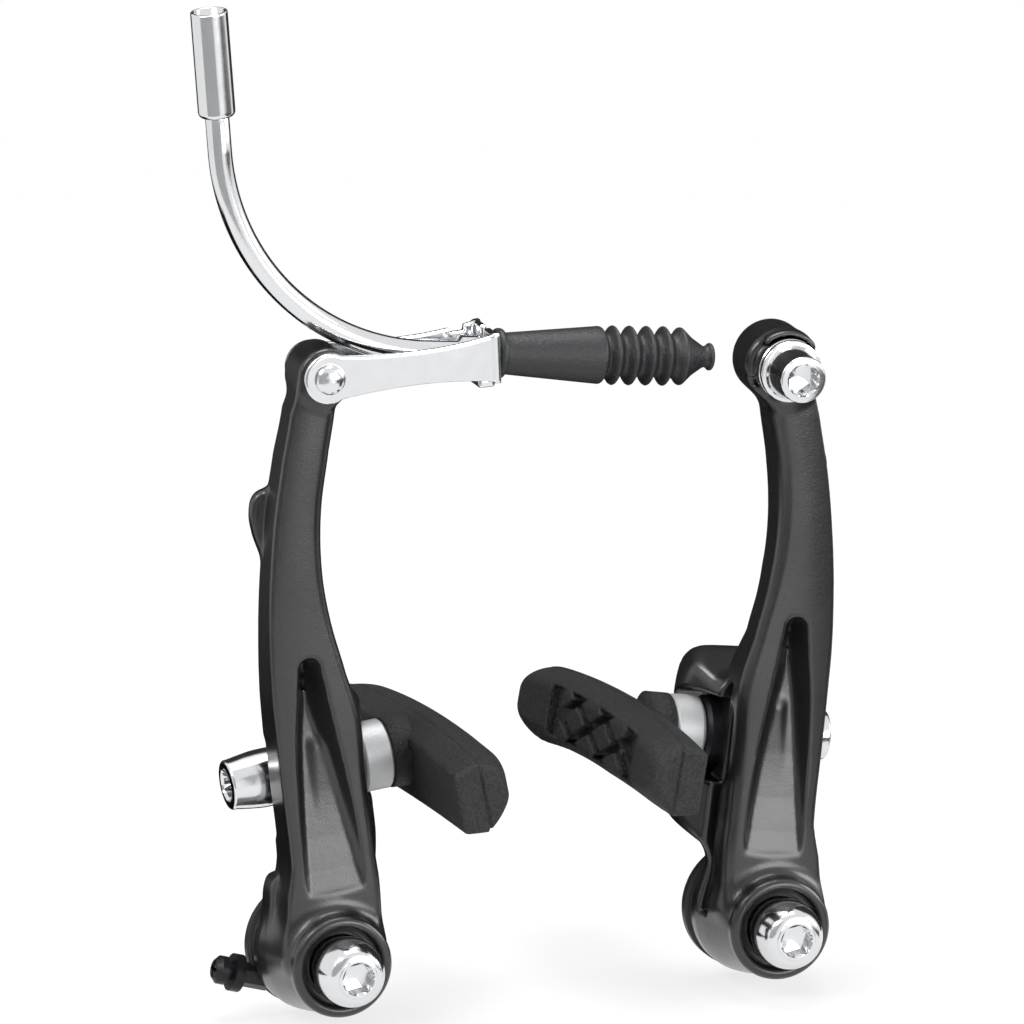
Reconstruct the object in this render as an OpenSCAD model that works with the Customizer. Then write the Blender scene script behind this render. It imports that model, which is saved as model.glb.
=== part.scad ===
// Linear-pull rim brake: two forged arms on frame bosses, with cable noodle, link and boot.
// X runs across the wheel, Y points back to the frame, Z points up.
// The origin is midway between the two pivots, on the plane of the frame bosses.

/* [Pivots] */
// Distance between the two pivot axes
pivot_spacing = 80; // [70:1:90]
// How far each arm leans open from its upright place
arm_splay = 6.9; // [4:0.1:10]
// Diameter of the frame boss that the bushing turns on
boss_d = 8; // [7.5:0.5:9]
// Outer diameter of the pivot bushing
bushing_d = 10.6; // [10:0.2:12]
// Length of the pivot bushing, from the frame boss plane to the washer
bushing_len = 22; // [20:0.5:24]
// Length of the rear land of the bushing bore that runs on the frame boss
land_len = 6; // [4:0.5:8]
// Diameter of the pivot bolt's shank
pivot_bolt_d = 6; // [5:0.5:6]
// Length of the pivot bolt's shank under its head
pivot_bolt_len = 16; // [13:0.5:16]
// Diameter of the pivot bolt's domed head
pivot_head_d = 12; // [11:0.5:13]
// Height of the pivot bolt's domed head
pivot_head_h = 6.4; // [5:0.2:7]
// Width across the flats of the hex sockets
hex_af = 5; // [4:0.5:5]
// Depth of the hex sockets
hex_depth = 3.6; // [3:0.2:4]
// Thickness of the pivot washer
pivot_washer_t = 1; // [0.6:0.1:1.4]

/* [Arm] */
// Height of the link rivet above the pivot, along the left arm
rivet_up = 103.4; // [101:0.2:106]
// How far the link rivet lies inward of the pivot
rivet_in = 11.4; // [10.5:0.1:12.5]
// Height of the cable anchor above the pivot, along the right arm
anchor_up = 98.8; // [97:0.2:101]
// How far the cable anchor lies inward of the pivot
anchor_in = 9.8; // [9.2:0.1:11]
// Radius of the rounded head at the top of the left arm
link_head_r = 5; // [4.6:0.1:5.4]
// Radius of the rounded head at the top of the right arm
anchor_head_r = 6.6; // [6:0.1:7.2]
// Radius of the rounded long edges of the arm
arm_edge_r = 2.4; // [1.5:0.1:3]
// Radius of the boss at its front ring
boss_front_r = 8.5; // [8:0.1:9.2]
// Radius of the boss at its back
boss_back_r = 11; // [10.4:0.1:11.6]
// How far the boss's front ring stays behind the end of the bushing
boss_short = 0.8; // [0.4:0.2:2]
// Distance of the boss's back face from the frame boss plane
boss_back = 4.2; // [3.6:0.1:5]
// Radius of the recess in the front ring
ring_recess_r = 7.1; // [6.8:0.1:7.4]
// Depth of the recess in the front ring
ring_recess = 2; // [1:0.2:3]
// Depth of the teardrop pocket at its top
pocket_depth = 4.4; // [3:0.2:5.5]

/* [Pad mounting] */
// Height of the pad stud above the pivot, along the arm
stud_up = 30.4; // [29:0.2:33]
// Distance of the pad stud behind the frame boss plane, negative is in front
stud_y = -1; // [-2:0.2:0]
// How far the seat for the inner washers lies inward of the pivot
seat_in = 9.4; // [9:0.1:10]
// Thickness of the slotted wall that the stud passes through
slot_wall = 6; // [5:0.2:7]
// Length of the height slot, between its end centres
slot_travel = 8; // [5:0.5:9]
// Height of the washer recess in the inner side of the arm
recess_h = 15; // [14:0.5:17]
// Diameter of the pad stud
stud_d = 6; // [5:0.5:6]
// Clearance of the stud in the slot and the washers, on the radius
stud_gap = 0.3; // [0.2:0.05:0.4]
// Diameter of the cup washers and the thick domed washer
washer_d = 12.2; // [11:0.2:13]
// Thickness of a cup washer
cup_t = 2.9; // [2.4:0.1:3.2]
// Radius of the ball face between each cup and dome
ball_r = 9; // [8:0.5:11]
// Length of the thick domed washer, from flat face to the edge of its dome
thick_len = 5.6; // [5:0.2:7]
// Length of the thin domed washer, from flat face to the edge of its dome
thin_len = 2; // [1.5:0.1:3]
// Largest diameter of the pad nut
nut_d = 10.2; // [9.5:0.1:11]
// Diameter of the pad nut at its outer end
nut_end_d = 8.4; // [8:0.1:9]
// Length of the pad nut
nut_len = 9.6; // [8:0.2:10]

/* [Brake pad] */
// Length of the pad, along the rim
pad_len = 72.8; // [66:0.2:76]
// Distance of the pad's middle behind the stud
pad_offset = 6; // [0:0.2:9]
// Height of the pad at its widest
pad_h = 13.8; // [12:0.2:15]
// How far the pad's middle lies below its stud
pad_drop = 2; // [0:0.2:3]
// Angle by which the pad's friction face is tilted up on its ball washers
pad_roll = 4; // [0:0.5:6]
// Angle by which the pad's front end is raised
pad_pitch = 1.6; // [0:0.2:4]
// Distance of the parting line from the pad's back
pad_part = 4.8; // [3:0.2:6]
// Thickness of the pad from its back to the friction face
pad_t = 10.2; // [10:0.2:13]
// Length of the collar between the pad's back and the thick washer
pad_collar = 3; // [1:0.2:4]
// Radius of the wheel rim that the pad follows
rim_r = 300; // [250:5:320]
// Depth of the tread grooves
tread_depth = 2.2; // [1.5:0.1:3]
// Width of the two cross grooves
cross_groove = 6; // [3:0.5:7]
// Distance from the tread's middle to each cross groove
cross_groove_y = 19.4; // [17:0.2:22]
// Width of the diagonal grooves
diagonal_groove = 1.8; // [1.2:0.1:2.2]
// Spacing of the diagonal grooves
diagonal_pitch = 6.2; // [5:0.1:9]
// Slant of the diagonal grooves to the rim
diagonal_slant = 26; // [15:1:45]

/* [Link and noodle] */
// Thickness of the folded link's sheet
link_t = 1.2; // [1:0.1:1.5]
// Length of the link from its rivet to the outside of its folded end
link_len = 31; // [29:0.5:33]
// Radius of the link's round ends
link_end_r = 4.5; // [4.2:0.1:4.8]
// Height of the link's narrow waist
link_waist = 6; // [5:0.2:7]
// Height of the link at its folded end
link_fold_h = 8.8; // [8:0.2:9.4]
// Tilt of the link above level
link_tilt = 2.4; // [0:0.2:5]
// Diameter of the link rivet's shank
rivet_d = 4; // [3.5:0.1:4.5]
// Diameter of the link rivet's domed head
rivet_head_d = 5.4; // [5:0.1:6]
// Outer diameter of the noodle tube
noodle_d = 4.2; // [4:0.1:4.8]
// Inner diameter of the noodle tube
noodle_bore = 3; // [2.6:0.1:3.2]
// Radius of the noodle's bend
noodle_r = 42; // [36:0.5:44]
// Angle that the noodle's bend turns through
noodle_turn = 80; // [75:1:90]
// Downward tilt of the noodle's nose
nose_tilt = 5.5; // [3:0.5:7]
// Length of straight tube between the link and the bend
noodle_tail = 11.2; // [10:0.2:16]
// Length of straight tube between the bend and the ferrule
noodle_lead = 6.4; // [3:0.2:9]
// Length of the nose that sticks out of the link into the boot
nose_len = 11; // [8:0.5:14]
// Outer diameter of the ferrule
ferrule_d = 6.5; // [6.2:0.1:7]
// Length of the ferrule
ferrule_len = 18.8; // [16:0.2:22]
// Diameter of the brake housing that the ferrule takes
housing_d = 5; // [4.5:0.1:5.2]

/* [Boot] */
// Diameter of the boot's collar
collar_d = 8.8; // [8:0.1:10]
// Largest diameter of the boot's cone and pleats
boot_d = 10.2; // [9:0.1:11]
// Length of the boot's cone
cone_len = 18.6; // [14:0.2:20]
// Number of pleats
pleats = 4; // [3:1:6]
// Distance from one pleat to the next
pleat_pitch = 3.1; // [2.8:0.1:3.4]
// Diameter in the valleys between the pleats
valley_d = 7.2; // [6.8:0.1:8]
// Thickness of the boot's rubber
boot_wall = 1; // [0.8:0.1:1.3]
// Diameter of the boot's neck
neck_d = 3.6; // [3.2:0.1:4]
// Diameter of the cable hole in the boot's tip
tip_hole_d = 1.6; // [1.2:0.1:2]

/* [Springs] */
// Diameter of the return spring wire
wire_d = 1.9; // [1.6:0.1:2.1]
// Mean radius of the return spring's coil
coil_r = 8; // [7.9:0.1:8.1]
// Number of turns in the return spring's coil
coil_turns = 2.25; // [2.25:1:3.25]
// Radius of the plastic spring housing
cap_r = 11.2; // [10.8:0.1:11.8]
// Thickness of the spring housing's flange
cap_t = 3.8; // [3.2:0.1:3.9]
// Diameter of the tension screw's head
screw_head_d = 5; // [4.5:0.1:5.6]
// Diameter of the tension screw's thread
screw_d = 3; // [2.5:0.1:3.2]

/* [Cable anchor] */
// Diameter of the anchor bolt's flange
anchor_flange_d = 11; // [10:0.2:11.6]
// Length of the anchor bolt's tapered head
anchor_head_h = 6.4; // [5.5:0.2:7]
// Diameter of the anchor bolt's head at its front
anchor_tip_d = 7.8; // [7.4:0.1:8.4]
// Thickness of the cable clamp washer
clamp_t = 3.2; // [2.4:0.2:3.6]
// Diameter of the brake cable that the washer clamps
cable_d = 1.5; // [1.2:0.1:1.6]

/* [Hidden] */

$fn = 64;
// A hair of overlap that keeps cuts clean
eps = 0.02;
// Running clearance between a turning bore and its pin, on the radius
run_gap = 0.05;
// Clearance between parts that turn past each other
side_gap = 0.3;
// Clearance between pieces of one body that only touch
fit_gap = 0.1;
// Steps along the arm and round its section
arm_steps = 26;
corner_steps = 4;

// Arm stations: height, inner edge, outer edge, front face and back face
arm_stations = [
    [2, -9.6, 8.4, -17.4, -5.2],
    [12, -10.2, 6.7, -17.2, -4.8],
    [18, -10.1, 5.2, -17, -4.8],
    [32, -10.2, 5.1, -16.7, -4.8],
    [42, -10.5, 5, -16.6, -5],
    [50, -9, 4.6, -16.5, -5.6],
    [61, -7, 3.5, -16.4, -6.2],
    [70, -6.7, 2.2, -16.4, -6.4],
    [80, -7.8, 0.1, -16.3, -6.5],
    [90, -10.1, -2.8, -16.2, -6.8],
    [98, -12.6, -5.2, -16, -7.2],
    [101.5, -14, -6.5, -16, -7.2]
];
arm_front = 16;
arm_top_back = 7.2;
boss_front = bushing_len - boss_short;
// Long enough to cut right through any piece
through = 60;

// Eases from one station to the next with a cubic through four stations
function cubic(a, b, c, d, t) =
    b + 0.5 * t * (c - a + t * (2 * a - 5 * b + 4 * c - d + t * (3 * (b - c) + d - a)));
function clamped(i, n) = min(max(i, 0), n - 1);
function span_at(z, s, i = 0) = i >= len(s) - 2 || z <= s[i + 1][0] ? i : span_at(z, s, i + 1);
function station(z, s) =
    let (n = len(s), i = span_at(z, s), t = (z - s[i][0]) / (s[i + 1][0] - s[i][0]))
    [for (k = [1:4]) cubic(s[clamped(i - 1, n)][k], s[i][k], s[i + 1][k],
        s[clamped(i + 2, n)][k], t)];

// One ring of a box-like section with round corners, seen from above
function round_box(x0, x1, y0, y1, r, z) =
    [for (q = [0:3], k = [0:corner_steps])
        let (a = 90 * q + 90 * k / corner_steps,
            cx = (q == 0 || q == 3) ? x1 - r : x0 + r,
            cy = (q == 0 || q == 1) ? y1 - r : y0 + r)
        [cx + r * cos(a), cy + r * sin(a), z]];

// Skins a stack of rings, each with the same number of points
module skin(rings) {
    n = len(rings[0]);
    m = len(rings);
    points = [for (ring = rings) each ring];
    sides = [for (i = [0:m - 2], j = [0:n - 1])
        let (a = i * n + j, b = i * n + (j + 1) % n) [a, a + n, b + n, b]];
    caps = [[for (j = [0:n - 1]) j], [for (j = [n - 1:-1:0]) (m - 1) * n + j]];
    polyhedron(points, concat(sides, caps));
}

// Places a piece on one side: 1 is the right side, -1 the left
module on_side(side) {
    mirror([side < 0 ? 1 : 0, 0, 0]) translate([pivot_spacing / 2, 0, 0]) children();
}

// Places a piece of an arm, drawn with the arm upright
module on_arm(side) {
    on_side(side) rotate([0, arm_splay, 0]) children();
}

// A turned piece along the Y axis: the profile's x is the radius, its y is the distance forward
module turned(points) {
    rotate([90, 0, 0]) rotate_extrude() polygon(points);
}

// A turned piece along the pad stud: the profile's y is the distance inward of the pivot
module turned_on_stud(points) {
    translate([0, stud_y, stud_up]) rotate([0, -90, 0]) rotate_extrude() polygon(points);
}

module y_cylinder(r, y0, y1) {
    translate([0, -y0, 0]) rotate([90, 0, 0]) cylinder(r = r, h = y1 - y0);
}

module hex_prism(af, h) {
    cylinder(d = af / cos(30), h = h, $fn = 6);
}

// The arm's long curved body
module arm_beam(top) {
    z0 = arm_stations[0][0];
    skin([for (i = [0:arm_steps])
        let (z = z0 + (top - z0) * i / arm_steps, s = station(z, arm_stations))
        round_box(s[0], s[1], s[2], s[3], arm_edge_r, z)]);
}

// Teardrop pocket in the front face: deep at its top, running out to the face at its foot
pocket_foot_z = 11.2;
pocket_foot = [-7.4, 3.7];
module pocket_outline() {
    hull() {
        translate([-2.1, 53]) circle(r = 1.9, $fn = 32);
        translate([-1.9, 48]) circle(r = 2.8, $fn = 32);
        translate([-1.6, 40]) circle(r = 3.8, $fn = 32);
        translate([pocket_foot[0] + 0.8, pocket_foot_z + 1]) circle(r = 0.8, $fn = 32);
        translate([pocket_foot[1] - 0.8, pocket_foot_z + 1]) circle(r = 0.8, $fn = 32);
    }
}
module pocket() {
    floor_top = arm_front - pocket_depth;
    intersection() {
        translate([0, 5 - arm_front, 0]) rotate([90, 0, 0])
            linear_extrude(height = 20) pocket_outline();
        rotate([90, 0, 90]) translate([0, 0, -20]) linear_extrude(height = 40)
            polygon([[-floor_top - 0.6, 58], [-floor_top, 46], [-16.6, 14.5], [-17.8, 9],
                [-24, 9], [-24, 58]]);
    }
}

// Boss barrel that turns on the bushing, with its rounded front ring
module boss_barrel() {
    turned([[0, boss_back], [boss_back_r, boss_back], [boss_back_r, boss_back + 3],
        [boss_back_r - 0.5, boss_back + 6], [boss_front_r + 1.1, boss_front - 6.6],
        [boss_front_r + 0.45, boss_front - 3], [boss_front_r + 0.1, boss_front - 1],
        [boss_front_r - 0.25, boss_front - 0.35], [boss_front_r - 0.7, boss_front],
        [0, boss_front]]);
}
module boss_cuts() {
    y_cylinder(bushing_d / 2 + run_gap, boss_back - 2, boss_front + 2);
    y_cylinder(ring_recess_r, boss_front - ring_recess, boss_front + 2);
    spring_room();
}

// Room for the coil in the back of the boss
coil_pitch = wire_d + 0.15;
coil_rings = 12;
coil_back = cap_t + wire_d / 2 + 0.5;
coil_room_out = coil_r + wire_d / 2 + 0.35;
coil_room_in = coil_r - wire_d / 2 - 0.35;
coil_room_depth = coil_back - boss_back + coil_pitch * coil_turns + wire_d / 2 + 0.4;
module spring_room() {
    difference() {
        y_cylinder(coil_room_out, boss_back - 2, boss_back + coil_room_depth);
        y_cylinder(coil_room_in, boss_back - 3, boss_back + coil_room_depth + 1);
    }
}

// Back block with the two horns that the washers sit between
horn_in = 15.7;
horn_back = 4.8;
horn_front = 7.4;
block_out = seat_in - slot_wall;
module horn_outline() {
    hull() {
        translate([-horn_in + 5, 39.8]) circle(r = 5, $fn = 32);
        translate([-6.8, 42.4]) circle(r = 2.2, $fn = 32);
        translate([-block_out - 1, 34]) circle(r = 1, $fn = 32);
        translate([-block_out - 1, 20]) circle(r = 1, $fn = 32);
        translate([-horn_in + 3.4, 17.2]) circle(r = 3.4, $fn = 32);
        translate([-11, 12.9]) circle(r = 2.3, $fn = 32);
        translate([-6, 12]) circle(r = 1, $fn = 32);
    }
    hull() {
        translate([-9, 11.5]) circle(r = 1.5, $fn = 32);
        translate([-5, 6]) circle(r = 3, $fn = 32);
        translate([-block_out - 1, 20]) circle(r = 1, $fn = 32);
    }
}
horn_top = 44.8;
horn_slope = 0.4;
// The block as seen from above: its front runs slantwise into the arm, and its top falls to the front
module stud_block() {
    front = horn_front + 5;
    difference() {
        intersection() {
            translate([0, horn_back, 0]) rotate([90, 0, 0])
                linear_extrude(height = horn_back + front) horn_outline();
            linear_extrude(height = through) polygon([[-horn_in - 1, horn_back], [-horn_in, 1.5],
                [-12, -horn_front - 0.6], [-9.5, -front], [0, -front], [0, horn_back]]);
            rotate([90, 0, 90]) translate([0, 0, -through / 2]) linear_extrude(height = through)
                polygon([[horn_back, 0], [horn_back, horn_top],
                    [-front, horn_top - horn_slope * (horn_back + front)], [-front, 0]]);
        }
        y_cylinder(cap_r + side_gap, -horn_back - 1, boss_back);
    }
}
module stud_cuts() {
    // Seat for the inner washers: round behind, squarer in front
    translate([-seat_in, 0, 0]) rotate([0, -90, 0]) linear_extrude(height = 20) hull() {
        translate([stud_up, stud_y]) circle(r = washer_d / 2 + 1.1);
        for (s = [-1, 1]) translate([stud_up + s * (recess_h / 2 - 2.5), -10.3])
            circle(r = 2.5, $fn = 32);
    }
    // Outer side of the slotted wall
    translate([-block_out, -stud_wall_front, stud_up - recess_h / 2 - 2])
        cube([20, 40, recess_h + 4]);
    // Height slot for the stud
    hull() for (s = [-0.5, 0.5])
        translate([0, stud_y, stud_up + s * slot_travel]) rotate([0, -90, 0])
            cylinder(r = stud_d / 2 + stud_gap, h = 30, $fn = 32);
    // Groove that the spring's leg lies in
    translate([-groove_floor - 12, leg_y - groove_w / 2, 0])
        cube([12, groove_w, leg_top + 1]);
}
stud_wall_front = washer_d / 2 - stud_y + 0.4;

// Spring leg in its groove on the inner side of the arm
leg_y = -coil_back - coil_pitch * coil_turns;
leg_top = 40;
groove_w = wire_d + 0.9;
groove_floor = coil_r - wire_d / 2 - 0.25;

// Finger rest on the outer back edge of the arm
fin_z = 78.6;
fin_t = 2.4;
module fin() {
    translate([0, -arm_top_back + 0.5, 0]) rotate([90, 0, 0]) linear_extrude(height = fin_t) hull() {
        translate([0.9, fin_z + 2.6]) circle(r = 2.2, $fn = 32);
        translate([0.8, fin_z - 2.4]) circle(r = 2.5, $fn = 32);
        translate([-2.4, fin_z + 3.4]) circle(r = 1.6, $fn = 32);
        translate([0.2, fin_z - 8]) circle(r = 1.4, $fn = 32);
        translate([-2.4, fin_z - 6]) circle(r = 1, $fn = 32);
    }
}

// Rib on the outer side of the boss that closes the coil's mouth
module boss_rib() {
    translate([0, -boss_back, 0]) rotate([90, 0, 0]) linear_extrude(height = 5) hull() {
        translate([5.6, 12.6]) circle(r = 1.9, $fn = 32);
        translate([2, 13]) circle(r = 1.5, $fn = 32);
        translate([6, 2]) circle(r = 3.4, $fn = 32);
        translate([2, 2]) circle(r = 3, $fn = 32);
    }
}

module arm_common(top) {
    arm_beam(top);
    boss_barrel();
    stud_block();
    fin();
    boss_rib();
}
module arm_cuts() {
    boss_cuts();
    stud_cuts();
    pocket();
}

module left_arm() {
    color("dimgray") on_arm(-1) difference() {
        union() {
            arm_common(arm_stations[len(arm_stations) - 1][0]);
            translate([-rivet_in, 0, rivet_up])
                y_cylinder(link_head_r, arm_top_back, arm_front);
        }
        arm_cuts();
        translate([-rivet_in, 0, rivet_up]) y_cylinder(rivet_d / 2 + run_gap, 0, through / 2);
    }
}

seat_face = 15.4;
ledge_front = 17.6;
module right_arm() {
    color("dimgray") on_arm(1) difference() {
        union() {
            arm_common(anchor_up - 1);
            translate([-anchor_in, 0, anchor_up]) {
                y_cylinder(anchor_head_r, arm_top_back - 0.6, seat_face);
                // Ledge over the clamp washer
                intersection() {
                    difference() {
                        y_cylinder(anchor_head_r, seat_face - 1, ledge_front);
                        y_cylinder(anchor_flange_d / 2 + side_gap, 0, through / 2);
                    }
                    translate([-4.4, -30, 2]) cube([9.4, 30, 10]);
                }
            }
        }
        arm_cuts();
        translate([-anchor_in, 0, anchor_up]) {
            y_cylinder(pivot_bolt_d / 2 + fit_gap, 0, through / 2);
            // Spot face for the clamp washer
            y_cylinder(anchor_flange_d / 2 + side_gap, seat_face, through / 2);
            // Groove that the cable lies in
            translate([-20, -seat_face - 5, -pivot_bolt_d / 2 - cable_d / 2])
                cube([40, 5 + cable_d / 2, cable_d]);
        }
    }
}

// Pivot bushing: a long sleeve with a running land at the back and a relief ahead of it
module bushing() {
    color("silver") difference() {
        y_cylinder(bushing_d / 2, 0, bushing_len);
        y_cylinder(boss_d / 2 + run_gap / 2, -1, land_len + eps);
        y_cylinder(boss_d / 2 + 0.3, land_len, bushing_len - 4);
        y_cylinder(pivot_bolt_d / 2 + fit_gap, land_len, bushing_len + 1);
    }
}

module pivot_washer() {
    color("silver") difference() {
        y_cylinder(pivot_head_d / 2 - fit_gap, bushing_len, bushing_len + pivot_washer_t);
        y_cylinder(pivot_bolt_d / 2 + fit_gap, 0, 40);
    }
}

// Domed bolt with a hex socket in a raised ring
module pivot_bolt() {
    base = bushing_len + pivot_washer_t;
    r = pivot_head_d / 2;
    ring = hex_af / 2 / cos(30) + 0.35;
    color("silver") difference() {
        turned([[0, base - pivot_bolt_len], [pivot_bolt_d / 2 - 0.5, base - pivot_bolt_len],
            [pivot_bolt_d / 2, base - pivot_bolt_len + 0.5], [pivot_bolt_d / 2, base],
            [r, base], [r, base + 0.9],
            for (a = [10:10:60]) [ring + 0.2 + (r - ring - 0.2) * cos(a),
                base + 0.9 + (pivot_head_h - 1) * sin(a)],
            [ring, base + pivot_head_h], [0, base + pivot_head_h]]);
        translate([0, -base - pivot_head_h + hex_depth, 0]) rotate([90, 0, 0])
            hex_prism(hex_af, hex_depth + 1);
    }
}

// Plastic cap behind the boss: it holds the coil's end in the frame
tail_angle = -90;
module spring_housing(with_screw) {
    color("black") difference() {
        union() {
            turned([[0, 0], [cap_r - 0.5, 0], [cap_r, 0.5], [cap_r, 2.2], [cap_r - 0.6, 2.4],
                [cap_r - 0.6, cap_t], [0, cap_t]]);
            // Peg that goes in the frame boss's spring hole
            translate([0, 0, boss_d + 0.6]) y_cylinder(1.2, -3.5, 1);
            if (with_screw) screw_lug();
        }
        y_cylinder(bushing_d / 2 + fit_gap, -1, cap_t + 1);
        // Hole for the coil's tail
        rotate([0, arm_splay, 0]) translate([coil_r * cos(tail_angle), 0, coil_r * sin(tail_angle)])
            y_cylinder(wire_d / 2 + fit_gap, 1.4, cap_t + 1);
        if (with_screw) on_screw() cylinder(r = screw_d / 2 + run_gap, h = 40, center = true);
    }
}

// Tension screw in a lug on the outer side of the housing
screw_tilt = 15;
screw_z = -4.8;
screw_y = -1.9;
module on_screw() {
    translate([12.2, screw_y, screw_z]) rotate([0, 90 - screw_tilt, 0]) children();
}
module screw_lug() {
    on_screw() translate([0, 0, -5]) intersection() {
        cylinder(d = 3.8 / cos(30), h = 5, $fn = 6);
        translate([-5, -1.9, 0]) cube([10, 3.8, 5]);
    }
}
module tension_screw() {
    color("black") on_side(-1) on_screw() difference() {
        rotate_extrude() polygon([[0, -6], [screw_d / 2 - 0.4, -6], [screw_d / 2, -5.6],
            [screw_d / 2, 0.3], [3.3, 0.3], [3.3, 2], [screw_d / 2, 2], [screw_d / 2, 3.1],
            [screw_head_d / 2, 3.1], [screw_head_d / 2, 4.4],
            [screw_head_d / 2 - 0.8, 5.2], [0, 5.4]]);
        for (a = [0, 90]) rotate([0, 0, a]) translate([-1.5, -0.3, 4.3]) cube([3, 0.6, 3]);
    }
}

// Return spring: coil round the bushing, with a straight leg up the arm
function coil_point(turn) =
    let (a = tail_angle - 360 * turn)
    [coil_r * cos(a), -coil_back - coil_pitch * turn, coil_r * sin(a)];
function dir_at(p, i) =
    let (n = len(p), a = p[max(i - 1, 0)], b = p[min(i + 1, n - 1)], d = b - a) d / norm(d);
function side_of(d) = let (s = cross(d, [0.1, 0.99, 0.05])) s / norm(s);
function wire_ring(p, i, r, n) =
    let (d = dir_at(p, i), s = side_of(d), u = cross(d, s))
    [for (k = [0:n - 1]) p[i] + r * cos(360 * k / n) * s + r * sin(360 * k / n) * u];
module return_spring() {
    coil = [for (i = [0:coil_rings * coil_turns]) coil_point(i / coil_rings)];
    wire = concat(coil, [[-coil_r, leg_y, 3], [-coil_r, leg_y, leg_top]]);
    color("gainsboro") union() {
        skin([for (i = [0:len(wire) - 1]) wire_ring(wire, i, wire_d / 2, 8)]);
        translate(coil_point(0)) rotate([90, 0, 0]) translate([0, 0, -2.8])
            cylinder(d = wire_d, h = 2.8 + wire_d / 4);
    }
}

// Pad hardware, from the arm's seat inward
cup_in = seat_in + cup_t;
dome_drop = ball_r - sqrt(pow(ball_r, 2) - pow(washer_d / 2 - 1, 2));
stud_hole = stud_d / 2 + stud_gap;
// A cup with a hollow ball face: d is 1 inward or -1 outward from its seat
module cup_washer(seat, d) {
    lip = seat + d * cup_t;
    floor_at = lip - d * dome_drop;
    color("black") turned_on_stud([[stud_hole, seat], [washer_d / 2, seat],
        [washer_d / 2, lip - d * 0.8], [washer_d / 2 - 0.8, lip],
        for (i = [0:6]) let (r = (washer_d / 2 - 1) + (stud_hole - washer_d / 2 + 1) * i / 6)
            [r, lip - d * (sqrt(pow(ball_r, 2) - r * r)
                - sqrt(pow(ball_r, 2) - pow(washer_d / 2 - 1, 2)))]]);
}
// A dome that seats in a cup, with a flat far face
module dome_washer(lip, len, d) {
    color("silver") turned_on_stud([
        for (i = [0:6]) let (r = stud_hole + (washer_d / 2 - 1 - stud_hole) * i / 6)
            [r, lip - d * (sqrt(pow(ball_r, 2) - r * r)
                - sqrt(pow(ball_r, 2) - pow(washer_d / 2 - 1, 2))) + d * fit_gap],
        [washer_d / 2 - 0.2, lip + d * 0.5], [washer_d / 2, lip + d * 0.9],
        [washer_d / 2, lip + d * (len - 0.4)], [washer_d / 2 - 0.4, lip + d * len],
        [stud_hole, lip + d * len]]);
}
thick_end = cup_in + thick_len;
outer_seat = seat_in - slot_wall;
outer_lip = outer_seat - cup_t;
thin_end = outer_lip - thin_len;
nut_end = thin_end - nut_len;
back_of_pad = thick_end + pad_collar;

module pad_nut() {
    color("silver") difference() {
        turned_on_stud([[0, thin_end], [nut_d / 2 - 0.3, thin_end], [nut_d / 2, thin_end - 0.4],
            [nut_d / 2, thin_end - 3.4], [nut_d / 2 - 0.3, thin_end - 5.6],
            [nut_end_d / 2 + 0.1, nut_end + 0.9], [nut_end_d / 2 - 0.3, nut_end],
            [0, nut_end]]);
        turned_on_stud([[0, thin_end + 1], [stud_d / 2, thin_end + 1],
            [stud_d / 2, nut_end + hex_depth - 0.4], [0, nut_end + hex_depth - 0.4]]);
        translate([-nut_end - hex_depth + 0.4, stud_y, stud_up]) rotate([0, 90, 0])
            hex_prism(hex_af, hex_depth + 1);
    }
}

// Threaded stud with a flange moulded into the pad
stud_flange_t = 1.6;
module pad_stud() {
    color("silver") turned_on_stud([[0, nut_end + hex_depth], [stud_d / 2 - 0.5, nut_end + hex_depth],
        [stud_d / 2, nut_end + hex_depth + 0.5], [stud_d / 2, back_of_pad + 2.4],
        [stud_d / 2 + 1.5, back_of_pad + 2.4],
        [stud_d / 2 + 1.5, back_of_pad + 2.4 + stud_flange_t],
        [0, back_of_pad + 2.4 + stud_flange_t]]);
}

// Turns a piece of the pad about its stud, as it is set on its ball washers
module on_pad() {
    translate([-back_of_pad, stud_y, stud_up]) rotate([-pad_pitch, pad_roll, 0])
        translate([back_of_pad, 0, -pad_drop]) children();
}
// One section across the pad, from the back face to the friction face, rounded in over its end
end_round = 8;
face_bevel = 2.9;
function pad_section(t) =
    let (y = t * pad_len / 2, over = max(0, abs(y) - pad_len / 2 + end_round) / end_round,
        e = 1 - sqrt(1 - min(over, 1) * min(over, 1)), at = y + pad_offset,
        c = sqrt(rim_r * rim_r - at * at) - rim_r, h = pad_h / 2 - e,
        front = back_of_pad + pad_t - 1.6 * e, face = h - face_bevel - 1.8 * e,
        half = [[back_of_pad, h - 1.8], [back_of_pad + 0.6, h - 1.1], [back_of_pad + 1.4, h - 0.8],
            [back_of_pad + pad_part, h], [back_of_pad + pad_part + 0.8, h - 0.2],
            [front - 1.5, face + 1.2], [front - 0.4, face + 0.4], [front, face - 0.6]])
    concat([for (q = half) [-q[0], at, c + q[1]]],
        [for (i = [len(half) - 1:-1:0]) [-half[i][0], at, c - half[i][1]]]);
pad_steps = 12;
module pad_body() {
    on_pad() skin([for (i = [pad_steps:-1:-pad_steps]) pad_section(sin(90 * i / pad_steps))]);
    turned_on_stud([[0, back_of_pad + 1], [washer_d / 2 + 0.4, back_of_pad + 1],
        [washer_d / 2 + 0.2, thick_end + fit_gap], [0, thick_end + fit_gap]]);
}
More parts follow.
